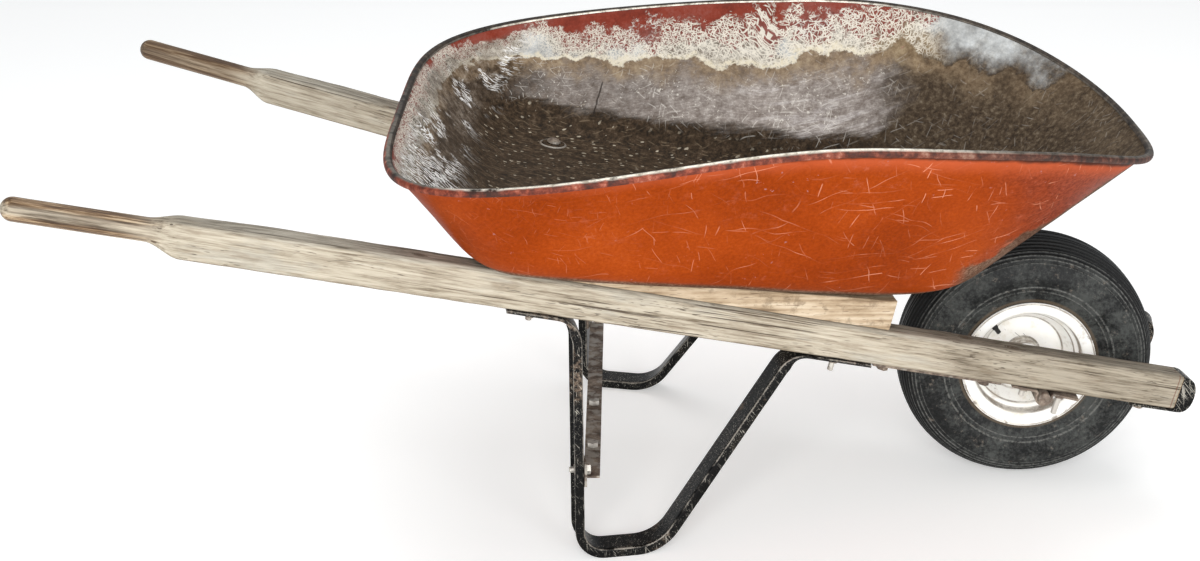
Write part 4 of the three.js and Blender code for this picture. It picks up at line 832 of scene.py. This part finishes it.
def build_handle(side, sign, material):
    shoulder = GRIP_START - GRIP_SHOULDER
    stations = np.concatenate([
        [0, 0.8, 2.0, 4.0], np.arange(9, shoulder, 6.0), np.linspace(shoulder, GRIP_START, 14),
        np.arange(GRIP_START + 6, HANDLE_LENGTH - 15, 6.0),
        HANDLE_LENGTH - GRIP_RADIUS + GRIP_RADIUS * np.sin(np.linspace(0.0, TIP_ANGLE, 10))])
    rings = []
    for at in stations:
        blend = float(smoothstep((at - shoulder) / GRIP_SHOULDER))
        trim = SAWN_TRIM * (1 - at / SAWN_EDGE) if at < SAWN_EDGE else 0.0
        beyond = at - (HANDLE_LENGTH - GRIP_RADIUS)
        if beyond > 0:
            trim = GRIP_RADIUS * (1 - math.sqrt(max(0.0, 1 - (beyond / GRIP_RADIUS) ** 2)))
        width = HANDLE_WIDTH * (1 - blend) + GRIP_DIAMETER * blend - 2 * trim
        height = HANDLE_HEIGHT * (1 - blend) + GRIP_DIAMETER * blend - 2 * trim
        edge = HANDLE_EDGE * (1 - blend) + (GRIP_RADIUS - 0.01) * blend - trim * (1 if blend else 0.5)
        edge = max(0.2, min(edge, width / 2 - 0.005, height / 2 - 0.005))
        ring = rounded_rectangle(width, height, edge)
        worn_top = TOP_WEAR * float(smoothstep((at - shoulder + TOP_WEAR_RUN) / TOP_WEAR_RUN)) * (1 - blend)
        ring[:, 1] = np.where(ring[:, 1] > 0, ring[:, 1] * (1 - worn_top / TOP), ring[:, 1]) + GRIP_LIFT * blend
        rings.append(np.column_stack([np.full(len(ring), at), ring]))
    points, faces = capped_tube(np.array(rings))
    # worn timber: edges knocked about, faces a little hollow
    inward = points * [0, -1, -1]
    inward /= np.maximum(np.linalg.norm(inward, axis=1), 1e-6)[:, None]
    wear = 0.35 + 0.35 * wave_noise(11, points * [0.12, 1, 1] + [0, 500 * sign, 0], 30, 3)
    nicks = np.clip(wave_noise(12, points * [1, 0.3, 0.3] + [300 * sign, 0, 0], 46, 2) - 0.35, 0, 1) * 3.0
    aside, above = np.abs(points[:, 1]) / (HANDLE_WIDTH / 2), np.abs(points[:, 2]) / (HANDLE_HEIGHT / 2)
    corner = np.clip(aside * above - 0.78, 0, 1) * 4
    points = points + inward * (wear * 0.6 + corner * nicks)[:, None]
    # the grain swirls round each knot
    knot, swirl = np.zeros(len(points)), np.zeros(len(points))
    for station, y, z, size in KNOTS[sign]:
        away = np.linalg.norm((points - [station, y, z]) * [0.55, 1, 1], axis=1)
        knot = np.maximum(knot, np.clip(1 - away / size, 0, 1))
        swirl += np.exp(-(away / (size * 1.6)) ** 2) * (points[:, 1] - y + points[:, 2] - z)
    grain = points * MM + [0, 3.0 * sign, 0]
    grain[:, 2] += swirl * 0.0006
    world = handle_to_world(points, sign)
    make(f"timber_{side}", world, faces, [material], replaces=[f"handle_{side}"],
         vectors={"grain": grain}, scalars={"knot": knot}, sharp=50)


# ---- legs
LEG_WIDTH, LEG_SHEET, LEG_FLANGE, TONGUE_FLANGE, CHANNEL_BEND = 38.0, 3.0, 12.0, 4.0, 3.2
LEG_FRONT_TONGUE, LEG_STRUT_TOP, LEG_UPRIGHT_TOP = 420.0, 527.0, 793.0
UPRIGHT_LEAN, FOOT_LENGTH, TONGUE_END = 14.0, 93.0, 886.0
LEG_SPLAY, TIGHT_BEND, WIDE_BEND = 0.09, 26.0, 52.0
SEAT = 0.3
TONGUE_FACE = UNDER - SEAT


def upright_plane_point(run, height):
    """A point of the leg's plane in the handle's frame, from its run and its height over the floor."""
    rise = height - HANDLE_START[2]
    return (run * math.cos(RISE) + rise * math.sin(RISE), rise * math.cos(RISE) - run * math.sin(RISE))


def unit(vector):
    return vector / np.linalg.norm(vector)


def rounded_path(corners, radii, steps=12):
    """(point, direction) pairs along a path with rounded corners."""
    corners = [np.array(corner, float) for corner in corners]
    path = [(corners[0], unit(corners[1] - corners[0]))]
    for before, here, after, radius in zip(corners, corners[1:], corners[2:], radii):
        into, out = unit(here - before), unit(after - here)
        turn = math.atan2(into[0] * out[1] - into[1] * out[0], into @ out)
        left = np.array([-into[1], into[0]]) * radius * np.sign(turn)
        centre = here - into * radius * math.tan(abs(turn) / 2) + left
        for k in range(steps + 1):
            c, s = math.cos(turn * k / steps), math.sin(turn * k / steps)
            rotation = np.array([[c, -s], [s, c]])
            path.append((centre + rotation @ -left, rotation @ into))
    return path + [(corners[-1], unit(corners[-1] - corners[-2]))]


def channel_ring(flange):
    """Section of the channel with rounded bends: (across, outward, wear of the edge)."""
    w, t, r = LEG_WIDTH / 2, LEG_SHEET, CHANNEL_BEND

    def bend(cx, cy, start):
        angles = [math.radians(start + 15 * k) for k in range(7)]
        return [(cx + r * math.cos(a), cy + r * math.sin(a), 1 - abs(k - 3) / 4) for k, a in enumerate(angles)]

    back = [(-w + r + (2 * w - 2 * r) * k / 9, 0, 0.0) for k in range(1, 9)]
    lip = max(flange - 1.0, r + 0.3)
    half = [(w, lip, 0.3), (w - 0.25, flange - 0.25, 1.0), (w - 1.0, flange, 0.7), (w - t + 0.6, flange, 0.7),
            (w - t, lip, 0.2), (w - t, t + 0.3, 0.0), (w - t - 0.3, t, 0.0)]
    return bend(-w + r, r, 180) + back + bend(w - r, r, 270) + half + [(-a, o, e) for a, o, e in half[::-1]]


def build_leg(side, sign, material):
    corners = [
        (LEG_FRONT_TONGUE, TONGUE_FACE), (LEG_STRUT_TOP, TONGUE_FACE),
        upright_plane_point(LEG_UPRIGHT_TOP - UPRIGHT_LEAN - FOOT_LENGTH, LEG_FLANGE),
        upright_plane_point(LEG_UPRIGHT_TOP - UPRIGHT_LEAN, LEG_FLANGE),
        (LEG_UPRIGHT_TOP, TONGUE_FACE), (TONGUE_END, TONGUE_FACE)]
    path = rounded_path(corners, [TIGHT_BEND + LEG_FLANGE, WIDE_BEND, TIGHT_BEND, TIGHT_BEND + LEG_FLANGE])
    dense = []
    for (p0, d0), (p1, d1) in zip(path[:-1], path[1:]):
        n = max(1, int(np.linalg.norm(p1 - p0) / 8))
        dense += [(p0 + (p1 - p0) * k / n, d0 + (d1 - d0) * k / n) for k in range(n)]
    rings, wears = [], []
    for at, along in dense + [path[-1]]:
        along = unit(along)
        right = np.array([along[1], -along[0]])
        flange = TONGUE_FLANGE + (LEG_FLANGE - TONGUE_FLANGE) * float(smoothstep((TONGUE_FACE - at[1]) / 16))
        shift = LEG_SPLAY * max(0.0, TONGUE_FACE - TIGHT_BEND / 2 - at[1])
        ring = channel_ring(flange)
        rings.append([(at[0] + right[0] * o, a + shift, at[1] + right[1] * o) for a, o, _ in ring])
        wears += [e for _, _, e in ring]
    points, faces = capped_tube(np.array(rings))
    world = handle_to_world(points, sign)
    world[:, 2] = np.maximum(world[:, 2], 0.0)
    make(f"leg_channel_{side}", world, faces, [material], replaces=[f"leg_{side}"],
         scalars={"edge": wears}, sharp=45)


# ---- wheel
TYRE_RADIUS, TYRE_HALF_WIDTH = 168, 52
WHEEL_SEGMENTS = 144
# grooves and rings at a distance along the tyre's surface from its middle: (distance, half width, depth)
GROOVES = ((6.5, 1.5, 2.4), (13.5, 1.5, 2.4), (20.5, 1.5, 2.6), (27.0, 1.3, 2.3), (32.8, 1.2, 2.0), (38.2, 1.0, 1.4),
           (43.2, 0.8, 0.9))
RINGS = ((41.0, 0.8, 0.35), (46.5, 1.0, 0.6), (51.5, 0.9, 0.6), (57.0, 0.7, 0.4), (90, 1.2, 0.7), (96.5, 0.9, 0.5))


def build_tyre(material):
    outer = smooth_curve([
        (168, 0), (167.85, 9), (167.3, 17), (165.9, 23), (163.3, 29), (160.2, 34.5), (156.6, 39.2), (149.5, 44.3),
        (139, 48.8), (125, 51.8), (112.6, 50.4), (100, 46.6), (90.5, 44.2)], 14)
    step = np.concatenate([[0], np.cumsum(np.linalg.norm(np.diff(outer, axis=0), axis=1))])
    depth = np.zeros(len(outer))
    for at, half, deep in GROOVES:
        depth += deep * np.clip(1 - np.abs(step - at) / (half * 1.3), 0, 1) ** 0.6
    for at, half, high in RINGS:
        depth -= high * np.clip(1 - np.abs(step - at) / half, 0, 1) ** 0.5
    tangent = np.gradient(outer, axis=0)
    tangent /= np.linalg.norm(tangent, axis=1)[:, None]
    normal = np.column_stack([tangent[:, 1], -tangent[:, 0]])
    if normal[0, 0] < 0:
        normal = -normal
    outer = np.minimum(outer - normal * depth[:, None], [TYRE_RADIUS, TYRE_HALF_WIDTH])
    bead = [(86, 43.2), (80, 41.4), (75.8, 39.2), (74.3, 36), (74.3, 28), (80, 27.3)]
    inside = [(92, 36), (112, 42.5), (128, 43.6), (145, 38), (156, 26), (160, 0)]
    half = np.vstack([outer, bead, inside])
    profile = np.vstack([half, half[::-1][1:-1] * [1, -1]])
    cut = np.concatenate([depth, np.zeros(len(half) - len(depth))])
    cut = np.concatenate([cut, cut[::-1][1:-1]])
    points, faces = turned(profile, WHEEL_SEGMENTS, AXLE)
    make("tyre_casing", points, faces, [material], body="wheel", replaces=["tyre"],
         scalars={"groove": np.repeat(cut, WHEEL_SEGMENTS)}, sharp=32)


def build_rims(material):
    face = smooth_curve([(88.3, 47.6), (86.8, 47.9), (84.5, 46.7), (81, 45.8), (76.5, 45.2), (73.2, 43.6), (71.6, 41),
                         (71.5, 36), (71.4, 32.2), (70.2, 29.4), (66.9, 27.6), (65.2, 25.6), (60, 17), (54.6, 7.6),
                         (52.4, 4.4), (48.8, 2.9), (40, 2.65), (22.3, 2.65)], 5)
    back = [(22.3, 0.15), (51, 0.15), (55, 3), (69, 26), (74, 29), (74, 36.5), (75.4, 40.4), (80, 42.6), (88.4, 45.6)]
    for side, sign in SIDES[::-1]:
        points, faces = turned(np.vstack([face, back]) * [1, sign], WHEEL_SEGMENTS, AXLE)
        make(f"rim_dish_{side}", points, faces, [material], body="wheel", replaces=[f"rim_half_{side}"],
             sharp=50)


# ---- bolt seats
def build_bolt_seats(material):
    """A shallow ring pressed up round each tray bolt's washer."""
    profile = smooth_curve([(16.3, 0.02), (16.8, 0.9), (17.6, 1.5), (18.5, 1.0), (19.5, 0.02)], 5)
    profile = np.vstack([profile, [(19.5, -0.25), (16.3, -0.25)]])
    c, s = math.cos(TRAY_SLOPE), math.sin(TRAY_SLOPE)
    for side, _ in SIDES:
        low, high = (np.array(v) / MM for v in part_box(f"tray_bolt_{side}"))
        points, faces = turned(profile, 48, axis="z")
        head_radius = (high[1] - low[1]) / 2
        head_x = high[0] - head_radius * c - TRAY_PLACE[0]
        head_z = high[2] - head_radius * s - TRAY_PLACE[2]
        points = points + [head_x * c - head_z * s, (low[1] + high[1]) / 2, SHEET]
        make(f"bolt_seat_{side}", tray_to_world(points), faces, [material],
             uv=points[:, :2] * MM, scalars={"wall": np.zeros(len(points))}, sharp=60)


# ---- CAD nodes that stay
def dress(node, material, bevel):
    obj = nodes[node]
    obj.data.materials.clear()
    obj.data.materials.append(material)
    obj.modifiers.new("weld", "WELD").merge_threshold = 1e-5
    if bevel:
        rounding = obj.modifiers.new("bevel", "BEVEL")
        rounding.width = bevel * MM
        rounding.segments = 2
        rounding.limit_method = "ANGLE"
        rounding.angle_limit = math.radians(28)


# ---- studio
FLOOR_REACH, FLOOR_DROP = 40.0, 0.0004
# each lamp's name, place, size, power and target
LAMPS = (("key", (-0.4, -3.6, 1.8), 2.2, 88, (0, 0, 0.3)),
         ("fill", (1.7, -3.1, 0.8), 1.5, 40, (0.3, 0, 0.2)),
         ("top", (0.2, 0.9, 3.5), 2.8, 46, (0, 0, 0.3)))
SKY_COLOUR, SKY_STRENGTH = (0.93, 0.96, 1.0, 1), 0.52


def build_studio():
    mesh = bpy.data.meshes.new("studio_floor")
    r = FLOOR_REACH
    mesh.from_pydata([(-r, -r, 0), (r, -r, 0), (r, r, 0), (-r, r, 0)], [], [[0, 1, 2, 3]])
    floor = bpy.data.objects.new("studio_floor", mesh)
    floor.location.z = -FLOOR_DROP
    m = Paint("studio_floor")
    m.base = (0.9, 0.895, 0.88, 1)
    mesh.materials.append(m.done(0.9, Emission_Color=(1, 1, 0.99, 1), Emission_Strength=0.3))
    bpy.context.scene.collection.objects.link(floor)
    for name, place, size, power, target in LAMPS:
        data = bpy.data.lights.new(name, "AREA")
        data.shape = "DISK"
        data.size = size
        data.energy = power
        lamp = bpy.data.objects.new(name, data)
        lamp.location = place
        lamp.rotation_euler = (Vector(target) - Vector(place)).to_track_quat("-Z", "Y").to_euler()
        bpy.context.scene.collection.objects.link(lamp)
    world = bpy.data.worlds.new("studio")
    bpy.context.scene.world = world
    world.use_nodes = True
    background = world.node_tree.nodes["Background"]
    background.inputs[0].default_value = SKY_COLOUR
    background.inputs[1].default_value = SKY_STRENGTH
    bpy.context.scene.view_settings.view_transform = "Standard"


build_camera()
build_studio()

rust = rusty_steel()
steel = rusty_steel("worn_steel", 0.8)
brace = rusty_steel("brace_steel", 0.35)
black = black_paint()
scraped = black_paint("scraped_black_paint", 1.0)
cream = wheel_paint()
timber = old_wood()
rubber = plain_rubber()
inside = tray_inside()
wedge = plain_wood()

build_tray([tray_outside(), inside, tray_rim()])
build_bolt_seats(brace)
for side, sign in SIDES:
    build_handle(side, sign, timber)
    build_leg(side, sign, black)
build_tyre(tyre_rubber())
build_rims(cream)

# each kind of node that keeps its solid, with its material and the width of its bevel
DRESSES = (
    (("riser_wedge",), wedge, 1.2),
    (("nose_shoe",), scraped, 0.8),
    (("bracket_stud", "leg_stud", "bearing", "lap_bolt", "lap_nut", "brace_bolt"), steel, 0.3),
    (("tray_washer",), inside, 0.3),
    (("brace_strap", "tray_bolt"), brace, 0.4),
    (("hub", "axle_spacer"), cream, 0.6),
    (("inner_tube", "valve_stem"), rubber, 0.0),
    (("",), rust, 0.4))
REPLACED = {"tray", "tyre"} | {f"{kind}_{side}" for kind in ("handle", "leg", "rim_half") for side, _ in SIDES}
for node in nodes:
    if node not in REPLACED:
        dress(node, *next(rest for names, *rest in DRESSES if node.startswith(names)))
